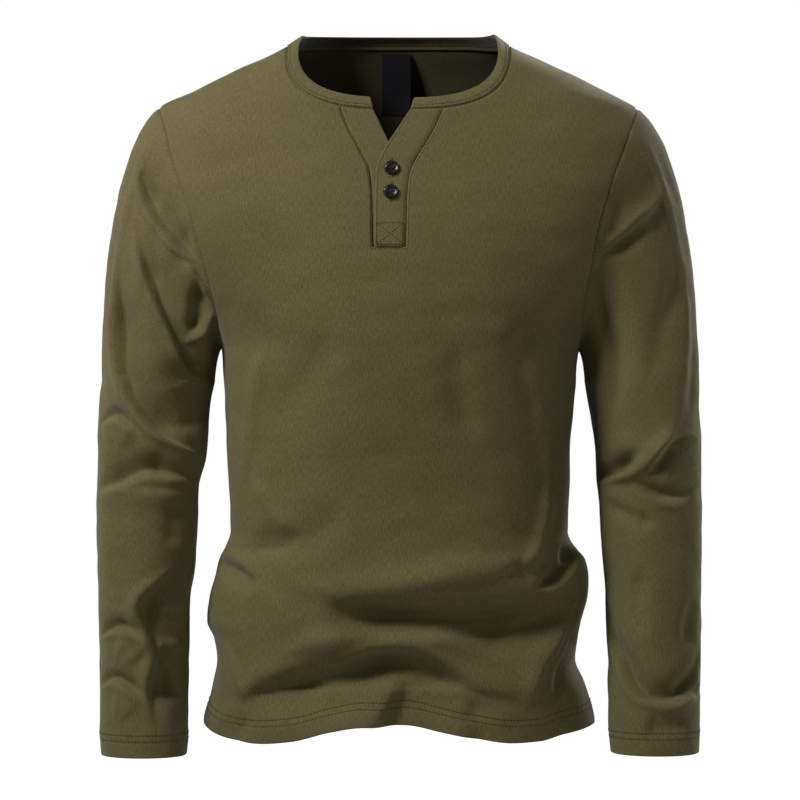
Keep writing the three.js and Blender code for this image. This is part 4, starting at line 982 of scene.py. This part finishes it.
def neckband_piece(columns, rows):
    turns, length = band_turns()
    share = np.linspace(0, 1, columns + 1)
    heights = 1 - edge_shares(BAND_HEIGHT, rows)[::-1]
    round_neck = turns(band_share(share[None, :], heights[:, None], length))
    points = band_surface(round_neck, heights[:, None])
    normals = grid_facing(points)
    mm = heights[:, None] * BAND_HEIGHT
    along = np.broadcast_to((share * length)[None, :], points.shape[:2])
    groove = needle_groove(mm, BAND_LINES, 0.9)
    rib = pucker(along, np.broadcast_to(mm, along.shape), 4.0, 5.0, 0.12, 7.0)
    puff = 0.35 * np.sin(math.pi * np.clip(mm / BAND_HEIGHT, 0, 1))
    points = points + normals * (dip(mm) + groove + rib + puff)[..., None]
    thin = np.interp(BAND_HEIGHT - mm, EDGE_ROWS, EDGE_THICK)
    uv = np.stack([along, np.broadcast_to(mm, along.shape)], axis=-1)
    half = BAND_THICK / 2 * thin
    return shell("cloth_neckband", points, grid_facing(points), half, half, uv, two_sided=True)


# The plackets
def placket_lift(name, share):
    """How far a placket lies off the panel's surface, from its seam to its free edge."""
    if name == "over":
        return mix(PLACKET_SEAM_LIFT, PLACKET_EDGE_LIFT, ease((1 - share) / 0.22))
    return mix(-0.15, -1.0, ease(share / 0.2))


def placket_point(name, share, z):
    first, last = ("over_edge", "over_seam") if name == "over" else ("under_seam", "under_edge")
    x = mix(placket_track[first](z), placket_track[last](z), share)
    angle = front_angle(x, z)
    return x, angle


def placket_piece(name, columns, rows):
    share = np.linspace(0, 1, columns + 1)[None, :]
    up = np.linspace(0, 1, rows + 1)[:, None]
    top = np.full(share.shape, -float(NECK_DROP))
    for _ in range(4):
        top = neck_z(placket_point(name, share, top)[0])
    z = mix(float(PLACKET_Z), top, up)
    x, angle = placket_point(name, share, z)
    points = body(angle, z)
    normals = grid_facing(points)
    width = lengths_along(points, 1)
    from_seam = width if name == "under" else width[:, -1:] - width
    from_edge = width[:, -1:] - width if name == "under" else width
    lift = placket_lift(name, share) + dip(from_seam) * 0.8 + dip(z - PLACKET_Z) * 0.5
    groove = -0.18 * np.exp(-(((from_edge - 2.4) / 0.8) ** 2))
    points = points + normals * (lift + groove)[..., None]
    thin = np.interp(from_edge, EDGE_ROWS, EDGE_THICK)
    uv = np.stack([np.broadcast_to(x, z.shape), z], axis=-1)
    half = PLACKET_THICK / 2 * thin
    return shell("cloth_placket_" + name, points, grid_facing(points), half, half, uv)


# Stitches: short rounded threads, joined into one mesh for each line.
THREAD_SIDES = 6


def thread_row(points, normals, length=STITCH, gap=STITCH_GAP, radius=THREAD, lift=0.1):
    """Vertices and faces of stitches along a line of points on the cloth."""
    lengths = run_lengths(points)
    count = max(1, int(lengths[-1] / (length + gap)))
    starts = (np.arange(count) + 0.1) * lengths[-1] / count
    spots = starts[:, None] + length * np.array([0.0, 0.12, 0.5, 0.88, 1.0])[None, :]
    at = np.stack([np.interp(spots, lengths, points[:, i]) for i in range(3)], axis=-1)
    out = unit(np.stack([np.interp(spots, lengths, normals[:, i]) for i in range(3)], axis=-1))
    run = unit(at[:, -1:] - at[:, :1])
    side = unit(np.cross(out, run))
    arch = np.array([-0.35, 0.0, 0.12, 0.0, -0.35])[None, :, None]
    size = np.array([0.35, 0.9, 1.0, 0.9, 0.35])[None, :, None] * radius
    at = at + out * (lift + arch)
    rings = []
    for k in range(THREAD_SIDES):
        a = 2 * math.pi * k / THREAD_SIDES
        rings.append(at + (side * math.cos(a) + out * math.sin(a)) * size)
    vertices = np.stack(rings, axis=2).reshape(-1, 3)
    faces = []
    rungs = spots.shape[1]
    for s in range(count):
        base = s * rungs * THREAD_SIDES
        for r in range(rungs - 1):
            for k in range(THREAD_SIDES):
                n = (k + 1) % THREAD_SIDES
                a, b = base + r * THREAD_SIDES, base + (r + 1) * THREAD_SIDES
                faces.append([a + k, b + k, b + n, a + n])
        faces.append([base + k for k in range(THREAD_SIDES)])
        last = base + (rungs - 1) * THREAD_SIDES
        faces.append([last + k for k in reversed(range(THREAD_SIDES))])
    return vertices, faces


def threads(name, lines, **sizes):
    vertices, faces = [], []
    total = 0
    for points, normals in lines:
        made, loops = thread_row(points, normals, **sizes)
        vertices.append(made)
        faces += [[i + total for i in face] for face in loops]
        total += len(made)
    return mesh_object(name, np.vstack(vertices), faces)


def body_line(angle, z, lift):
    normals = body_facing(angle, z)
    return body(angle, z) + normals * lift, normals


def hem_lines():
    angle = np.linspace(-math.pi / 2, 1.5 * math.pi, 900)
    edge = hem_z(np.where(angle > math.pi, angle - 2 * math.pi, angle))
    return [body_line(angle, edge + height, KNIT / 2 + TURNED_OUT - 0.15) for height in HEM_LINES]


def cuff_lines(name, surface):
    side = SIDE[name]
    k = np.linspace(0, 1, 300)
    lines = []
    for height in CUFF_LINES:
        row = np.full(k.shape, 2 - height / (CAP_Z - CUFF_Z[name]))
        normals = facing(surface, k, row, 0.004, 0.004, -side)
        lines.append((surface(k, row) + normals * (KNIT / 2 + TURNED_OUT - 0.15), normals))
    return lines


def band_lines():
    """Two rows on the outside of the neckband and the lower one again on its inside."""
    turns, length = band_turns()
    even = np.linspace(0.004, 0.996, 700)
    lines = []
    for height, slant_height, hand in (
        (BAND_LINES[0], BAND_LINES[0], 1),
        (BAND_LINES[1], BAND_LINES[1], 1),
        (BAND_LINES[0], BAND_LINES[1], -1),
    ):
        h = np.full(even.shape, height / BAND_HEIGHT)
        turn = turns(band_share(even, slant_height / BAND_HEIGHT, length))
        out = facing(band_surface, turn, h, 0.5, 0.02) * hand
        lines.append((band_surface(turn, h) + out * (BAND_THICK / 2 + 0.05), out))
    return lines


def placket_lines():
    """Topstitching beside the placket's seams, along its free edge and in its box and cross."""
    lines = []
    z = np.linspace(PLACKET_Z - 1.6, -74, 160)
    for name, side in (("under_seam", -1), ("over_seam", 1)):
        x = placket_track[name](z) + side * SEAM_STITCH_ASIDE
        lines.append(body_line(front_angle(x, z), z, KNIT / 2 - 0.1))
    first = float(placket_track["under_seam"](PLACKET_Z)) - SEAM_STITCH_ASIDE
    last = float(placket_track["over_seam"](PLACKET_Z)) + SEAM_STITCH_ASIDE
    x = np.linspace(first, last, 40)
    z = np.full(x.shape, PLACKET_Z - SEAM_STITCH_ASIDE)
    lines.append(body_line(front_angle(x, z), z, KNIT / 2 - 0.1))
    z = np.linspace(-205, -74, 150)
    x = placket_track["over_edge"](z) + EDGE_STITCH_ASIDE
    lines.append(body_line(front_angle(x, z), z, PLACKET_EDGE_LIFT + PLACKET_THICK / 2 - 0.15))
    top, bottom, left, right = STITCH_BOX.values()
    seam_x = float(placket_track["over_seam"](STITCH_BOX_Z))
    corners = [
        [(left, top), (right, top)],
        [(left, bottom), (right, bottom)],
        [(left, top), (left, bottom)],
        [(right, top), (right, bottom)],
        [(left, top), (right, bottom)],
        [(left, bottom), (right, top)],
    ]
    for (x0, z0), (x1, z1) in corners:
        s = np.linspace(0, 1, 40)
        x, z = mix(x0, x1, s), mix(z0, z1, s)
        share = 1 - (seam_x - x) / PLACKET_WIDTH
        lift = placket_lift("over", share) + PLACKET_THICK / 2
        lines.append(body_line(front_angle(x, z), z, lift[:, None] - 0.1))
    return lines


def buttonhole_lines():
    """Two rows of close stitches for each buttonhole, which the button half hides."""
    lines = []
    for x0, z0 in BUTTONS.values():
        for aside in (-BUTTONHOLE_ASIDE, BUTTONHOLE_ASIDE):
            z = np.linspace(z0 - BUTTONHOLE_HALF, z0 + BUTTONHOLE_HALF, 40)
            angle = front_angle(np.full(z.shape, x0 + aside), z)
            lines.append(body_line(angle, z, PLACKET_EDGE_LIFT + PLACKET_THICK / 2))
    return lines


# Buttons and label
def button_piece(name, x, z):
    """A dished button with a rounded rim and four sunk holes, on the over placket."""
    rings, around = 30, 72
    r = np.linspace(0, 1, rings + 1)[1:] * BUTTON_RADIUS
    a = 2 * math.pi * np.arange(around) / around
    rr, aa = np.meshgrid(r, a, indexing="ij")
    rim = np.exp(-(((rr - BUTTON_RIM_AT) / 1.1) ** 2))
    height = BUTTON_FACE + BUTTON_RIM * rim - 2.0 * ease((rr - 6.3) / 1.2) ** 2
    for hx in (HOLE_SPREAD, -HOLE_SPREAD):
        for hy in (HOLE_SPREAD, -HOLE_SPREAD):
            gap = np.hypot(rr * np.cos(aa) - hx, rr * np.sin(aa) - hy)
            height = height - HOLE_DEPTH * (1 - ease((gap - 0.55) / 0.45))
    front = stack(rr * np.cos(aa), rr * np.sin(aa), height).reshape(-1, 3)
    under = stack(BUTTON_BACK * np.cos(a), BUTTON_BACK * np.sin(a), 0.0)
    vertices = np.vstack([front, under, [[0, 0, BUTTON_FACE]], [[0, 0, 0.0]]])
    faces = []
    for i in range(rings):
        for k in range(around):
            n = (k + 1) % around
            faces.append([i * around + k, (i + 1) * around + k, (i + 1) * around + n, i * around + n])
    middle, back = len(vertices) - 2, len(vertices) - 1
    for k in range(around):
        n = (k + 1) % around
        faces.append([middle, k, n])
        faces.append([back, rings * around + n, rings * around + k])
    z = np.array(z, float)
    angle = front_angle(x, z)
    out = body_facing(angle, z)
    right = unit(np.cross(np.array([0, 0, 1.0]), out))
    up = np.cross(out, right)
    centre = body(angle, z) + out * (PLACKET_EDGE_LIFT + PLACKET_THICK / 2 + 0.25)
    placed = centre + vertices[:, :1] * right + vertices[:, 1:2] * up + vertices[:, 2:] * out
    button = mesh_object(name + "_body", placed, faces)
    lines = []
    for hx in (-HOLE_SPREAD, HOLE_SPREAD):
        s = np.linspace(-1, 1, 12)
        local = np.stack([np.full(12, hx), 1.7 * s, 2.0 - 0.7 * s ** 6], axis=-1)
        path = centre + local[:, :1] * right + local[:, 1:2] * up + local[:, 2:] * out
        for shift in (-0.22, 0.22):
            lines.append((path + right * shift, np.repeat(out[None, :], 12, axis=0)))
    sewn = threads(name + "_thread", lines, length=3.2, gap=0.1, radius=0.22, lift=0.25)
    return button, sewn


def label_piece():
    """The bare neck label, hanging from the back neck with a soft curve."""
    top_angle = math.pi - float(front_angle(LABEL["left"], LABEL["top"]))
    top_y = float(body(top_angle, np.array(LABEL["top"]))[1]) - LABEL_OFF_BACK
    rows, columns = 60, 30
    t = np.linspace(0, 1, rows + 1)[:, None]
    s = np.linspace(0, 1, columns + 1)[None, :]
    z = mix(LABEL["bottom"], LABEL["top"], t) + 0 * s
    x = mix(LABEL["left"], LABEL["right"], s) + 0.5 * np.sin(3 * t) * (1 - t)
    curl = 1.2 * (1 - t) ** 2 * (2 * s - 1) ** 2
    y = top_y - LABEL_SWING * (1 - t) - 0.5 * np.sin(math.pi * t) - curl
    points = stack(x, y, z)
    uv = np.stack([x + 0 * t, z], axis=-1)
    half = LABEL_HALF_THICK
    return shell("cloth_neck_label", points, grid_facing(points), half, half, uv)


# Materials
def sockets(group, inputs, outputs):
    for name, kind, value in inputs:
        socket = group.interface.new_socket(name=name, in_out="INPUT", socket_type=kind)
        if value is not None:
            socket.default_value = value
    for name, kind in outputs:
        group.interface.new_socket(name=name, in_out="OUTPUT", socket_type=kind)


def node(tree, kind, **settings):
    made = tree.nodes.new(kind)
    for name, value in settings.items():
        setattr(made, name, value)
    return made


def math_node(tree, operation, a, b=None):
    made = node(tree, "ShaderNodeMath", operation=operation)
    for i, value in enumerate((a, b)):
        if value is None:
            continue
        if isinstance(value, (int, float)):
            made.inputs[i].default_value = value
        else:
            tree.links.new(value, made.inputs[i])
    return made.outputs[0]


def knit_group():
    """Jersey knit: wales and courses as a height, and a faint streaking along the wales."""
    group = bpy.data.node_groups.new("jersey_knit", "ShaderNodeTree")
    sockets(
        group,
        [
            ("Cloth", "NodeSocketVector", None),
            ("Wale Pitch", "NodeSocketFloat", 0.001),
            ("Course Pitch", "NodeSocketFloat", 0.0008),
        ],
        [("Height", "NodeSocketFloat"), ("Streak", "NodeSocketFloat"), ("Fuzz", "NodeSocketFloat")],
    )
    start = node(group, "NodeGroupInput")
    end = node(group, "NodeGroupOutput")
    split = node(group, "ShaderNodeSeparateXYZ")
    group.links.new(start.outputs["Cloth"], split.inputs[0])
    wale = math_node(group, "DIVIDE", split.outputs[0], start.outputs["Wale Pitch"])
    course = math_node(group, "DIVIDE", split.outputs[1], start.outputs["Course Pitch"])
    wale_wave = math_node(group, "SINE", math_node(group, "MULTIPLY", wale, 2 * math.pi))
    half_wale = math_node(group, "SINE", math_node(group, "MULTIPLY", wale, math.pi))
    legs = math_node(group, "ABSOLUTE", half_wale)
    lean = math_node(group, "ADD", math_node(group, "MULTIPLY", course, 2 * math.pi), legs)
    course_wave = math_node(group, "SINE", lean)
    ribs = math_node(group, "MULTIPLY", wale_wave, 0.6)
    height = math_node(group, "ADD", ribs, math_node(group, "MULTIPLY", course_wave, 0.3))
    group.links.new(height, end.inputs["Height"])
    stretched = node(group, "ShaderNodeMapping")
    stretched.inputs["Scale"].default_value = (900, 160, 1)
    group.links.new(start.outputs["Cloth"], stretched.inputs["Vector"])
    streak = node(group, "ShaderNodeTexNoise")
    streak.inputs["Scale"].default_value = 1
    streak.inputs["Detail"].default_value = 3
    group.links.new(stretched.outputs[0], streak.inputs["Vector"])
    group.links.new(streak.outputs["Fac"], end.inputs["Streak"])
    fuzz = node(group, "ShaderNodeTexNoise")
    fuzz.inputs["Scale"].default_value = 780
    fuzz.inputs["Detail"].default_value = 4
    group.links.new(start.outputs["Cloth"], fuzz.inputs["Vector"])
    group.links.new(fuzz.outputs["Fac"], end.inputs["Fuzz"])
    return group


def principled(name):
    material = bpy.data.materials.new(name)
    material.use_nodes = True
    tree = material.node_tree
    return material, tree, tree.nodes["Principled BSDF"]


def colour_ramp(tree, value, dark, light):
    blend = node(tree, "ShaderNodeMix", data_type="RGBA")
    blend.inputs[6].default_value = (*dark, 1)
    blend.inputs[7].default_value = (*light, 1)
    tree.links.new(value, blend.inputs[0])
    return blend.outputs[2]


OLIVE = (0.130, 0.108, 0.042)


def shade(colour, factor):
    return tuple(c * factor for c in colour)


def knit_material(name, group, wale, bump, tone_share=1.0):
    material, tree, shader = principled(name)
    cloth = node(tree, "ShaderNodeUVMap", uv_map="cloth")
    knit = node(tree, "ShaderNodeGroup")
    knit.node_tree = group
    knit.inputs["Wale Pitch"].default_value = wale
    knit.inputs["Course Pitch"].default_value = wale * 0.8
    tree.links.new(cloth.outputs[0], knit.inputs["Cloth"])
    place = node(tree, "ShaderNodeTexCoord")
    patches = node(tree, "ShaderNodeTexNoise")
    patches.inputs["Scale"].default_value = 9
    patches.inputs["Detail"].default_value = 3
    tree.links.new(place.outputs["Object"], patches.inputs["Vector"])
    streak = math_node(tree, "MULTIPLY", knit.outputs["Streak"], 0.4)
    tone = math_node(tree, "ADD", streak, math_node(tree, "MULTIPLY", knit.outputs["Fuzz"], 0.45))
    tone = math_node(tree, "ADD", tone, math_node(tree, "MULTIPLY", patches.outputs["Fac"], 0.15))
    spread = node(tree, "ShaderNodeMapRange")
    spread.inputs["From Min"].default_value = 0.38
    spread.inputs["From Max"].default_value = 0.62
    tree.links.new(tone, spread.inputs["Value"])
    # tone_share scales the whole colour; below 1 it gives the darker copy used as painted shade on the
    # inside.
    dark, light = shade(OLIVE, 0.68 * tone_share), shade(OLIVE, 1.3 * tone_share)
    colour = colour_ramp(tree, spread.outputs[0], dark, light)
    tree.links.new(colour, shader.inputs["Base Color"])
    shader.inputs["Roughness"].default_value = 0.88
    shader.inputs["Specular IOR Level"].default_value = 0.25
    shader.inputs["Sheen Weight"].default_value = 0.12
    shader.inputs["Sheen Roughness"].default_value = 0.45
    loops = math_node(tree, "MULTIPLY", knit.outputs["Height"], 0.5)
    height = math_node(tree, "ADD", loops, knit.outputs["Fuzz"])
    raised = node(tree, "ShaderNodeBump")
    raised.inputs["Distance"].default_value = 0.00025
    raised.inputs["Strength"].default_value = bump
    tree.links.new(height, raised.inputs["Height"])
    tree.links.new(raised.outputs[0], shader.inputs["Normal"])
    return material


def thread_material():
    material, tree, shader = principled("sewing_thread_painted_shade")
    place = node(tree, "ShaderNodeTexCoord")
    twist = node(tree, "ShaderNodeTexNoise")
    twist.inputs["Scale"].default_value = 700
    tree.links.new(place.outputs["Object"], twist.inputs["Vector"])
    # The thread's colour, far darker than the cloth, is painted shade: it stands for the shadow in the
    # stitch holes and between the stitches.
    colour = colour_ramp(tree, twist.outputs["Fac"], shade(OLIVE, 0.12), shade(OLIVE, 0.28))
    tree.links.new(colour, shader.inputs["Base Color"])
    shader.inputs["Roughness"].default_value = 0.6
    return material


def resin_material():
    material, tree, shader = principled("black_resin")
    place = node(tree, "ShaderNodeTexCoord")
    cloud = node(tree, "ShaderNodeTexNoise")
    cloud.inputs["Scale"].default_value = 240
    tree.links.new(place.outputs["Object"], cloud.inputs["Vector"])
    colour = colour_ramp(tree, cloud.outputs["Fac"], (0.006, 0.004, 0.005), (0.018, 0.012, 0.014))
    tree.links.new(colour, shader.inputs["Base Color"])
    rough = node(tree, "ShaderNodeMapRange")
    rough.inputs["To Min"].default_value = 0.22
    rough.inputs["To Max"].default_value = 0.36
    tree.links.new(cloud.outputs["Fac"], rough.inputs["Value"])
    tree.links.new(rough.outputs[0], shader.inputs["Roughness"])
    shader.inputs["Coat Weight"].default_value = 0.25
    shader.inputs["Coat Roughness"].default_value = 0.12
    return material


def label_material():
    material, tree, shader = principled("label_satin")
    cloth = node(tree, "ShaderNodeUVMap", uv_map="cloth")
    weave = node(tree, "ShaderNodeTexWave", wave_type="BANDS", bands_direction="DIAGONAL")
    weave.inputs["Scale"].default_value = 900
    tree.links.new(cloth.outputs[0], weave.inputs["Vector"])
    colour = colour_ramp(tree, weave.outputs["Fac"], (0.002, 0.002, 0.003), (0.005, 0.005, 0.007))
    tree.links.new(colour, shader.inputs["Base Color"])
    shader.inputs["Roughness"].default_value = 0.6
    shader.inputs["Specular IOR Level"].default_value = 0.12
    raised = node(tree, "ShaderNodeBump")
    raised.inputs["Distance"].default_value = 0.0001
    raised.inputs["Strength"].default_value = 0.4
    tree.links.new(weave.outputs["Fac"], raised.inputs["Height"])
    tree.links.new(raised.outputs[0], shader.inputs["Normal"])
    return material


# Putting the shirt together
group = knit_group()
knit = knit_material("olive_jersey", group, 0.0011, 0.55)
knit_band = knit_material("olive_band", group, 0.0010, 0.45)
# The shirt's inside gets a darker copy of the knit: painted shade, standing for the shadow inside the neck
# and the other openings.
inside_painted_shade = knit_material("olive_inside_painted_shade", group, 0.0011, 0.4, tone_share=0.3)
thread = thread_material()
resin = resin_material()
satin = label_material()


def keep(piece, material, slot, *nodes):
    """Gives a piece its finish and its place in the frame."""
    piece.data.materials.append(material)
    # Knit pieces other than the plackets take that darker copy on their inner faces, as painted shade.
    if material in (knit, knit_band) and not piece.name.startswith("cloth_placket"):
        piece.data.materials.append(inside_painted_shade)
    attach(piece, "root")
    if nodes:
        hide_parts(*nodes)
    return piece


front = keep(panel_piece("cloth_front", "front", 84, 12, 146, 99), knit, "knit", "front")
back = keep(panel_piece("cloth_back", "back", 75, 0, 146, 99), knit, "knit", "back")
cuff_stitches = []
for name in SIDE:
    piece, surface = sleeve_piece(name, 160, 118, 184)
    keep(piece, knit, "knit", "sleeve_" + name)
    cuff_stitches += cuff_lines(name, surface)
band = keep(neckband_piece(360, 16), knit_band, "knit", "neckband")
under = keep(placket_piece("under", 24, 90), knit_band, "knit", "placket_under")
over = keep(placket_piece("over", 24, 90), knit_band, "knit", "placket_over")
label = keep(label_piece(), satin, "label", "neck_label")
keep(threads("stitches_hem", hem_lines()), thread, "knit")
keep(threads("stitches_cuffs", cuff_stitches), thread, "knit")
keep(threads("stitches_neckband", band_lines()), thread, "knit")
keep(threads("stitches_placket", placket_lines(), length=1.9, gap=1.0, radius=0.42), thread, "knit")
keep(threads("stitches_buttonholes", buttonhole_lines(), length=0.9, gap=0.05, radius=0.3), thread, "knit")
for name, (x, z) in BUTTONS.items():
    button, sewn = button_piece(name, x, z)
    keep(button, resin, "button", name)
    keep(sewn, thread, "knit")


# Studio
def area_light(name, place, aim, size, power_watts):
    data = bpy.data.lights.new(name, "AREA")
    data.shape = "RECTANGLE"
    data.size, data.size_y = size
    data.energy = power_watts
    lamp = bpy.data.objects.new(name, data)
    lamp.location = place
    way = Vector(aim) - Vector(place)
    lamp.rotation_euler = way.to_track_quat("-Z", "Y").to_euler()
    bpy.context.scene.collection.objects.link(lamp)


def studio_floor():
    """A wide, flat, pale floor that reads as white paper to the camera."""
    signs = ((-1, -1), (1, -1), (1, 1), (-1, 1))
    corners = [(FLOOR_HALF * x, FLOOR_HALF * y, FLOOR_Z) for x, y in signs]
    floor_piece = mesh_object("studio_floor", corners, [[0, 1, 2, 3]])
    paper, tree, shader = principled("studio_paper")
    shader.inputs["Base Color"].default_value = (0.4, 0.4, 0.4, 1)
    shader.inputs["Roughness"].default_value = 0.9
    shader.inputs["Emission Color"].default_value = (1, 1, 1, 1)
    seen = node(tree, "ShaderNodeLightPath")
    tree.links.new(seen.outputs["Is Camera Ray"], shader.inputs["Emission Strength"])
    floor_piece.data.materials.append(paper)


studio_floor()
for name, light in LIGHTS.items():
    area_light(name, *light)


def studio_world():
    """A white surround for the camera that lights the shirt only faintly."""
    world = bpy.data.worlds.new("studio")
    world.use_nodes = True
    tree = world.node_tree
    faint = tree.nodes["Background"]
    faint.inputs["Color"].default_value = (1, 1, 1, 1)
    faint.inputs["Strength"].default_value = WORLD_STRENGTH
    bright = node(tree, "ShaderNodeBackground")
    bright.inputs["Color"].default_value = (1, 1, 1, 1)
    seen = node(tree, "ShaderNodeLightPath")
    choose = node(tree, "ShaderNodeMixShader")
    tree.links.new(seen.outputs["Is Camera Ray"], choose.inputs[0])
    tree.links.new(faint.outputs[0], choose.inputs[1])
    tree.links.new(bright.outputs[0], choose.inputs[2])
    tree.links.new(choose.outputs[0], tree.nodes["World Output"].inputs["Surface"])
    bpy.context.scene.world = world


studio_world()
bpy.context.scene.view_settings.view_transform = "Standard"

camera_data = bpy.data.cameras.new("camera")
camera_data.lens = CAMERA_LENS
camera_data.sensor_width = 36
camera = bpy.data.objects.new("camera", camera_data)
camera.location = CAMERA_PLACE
camera.rotation_euler = (math.pi / 2, 0, 0)
bpy.context.scene.collection.objects.link(camera)
bpy.context.scene.camera = camera
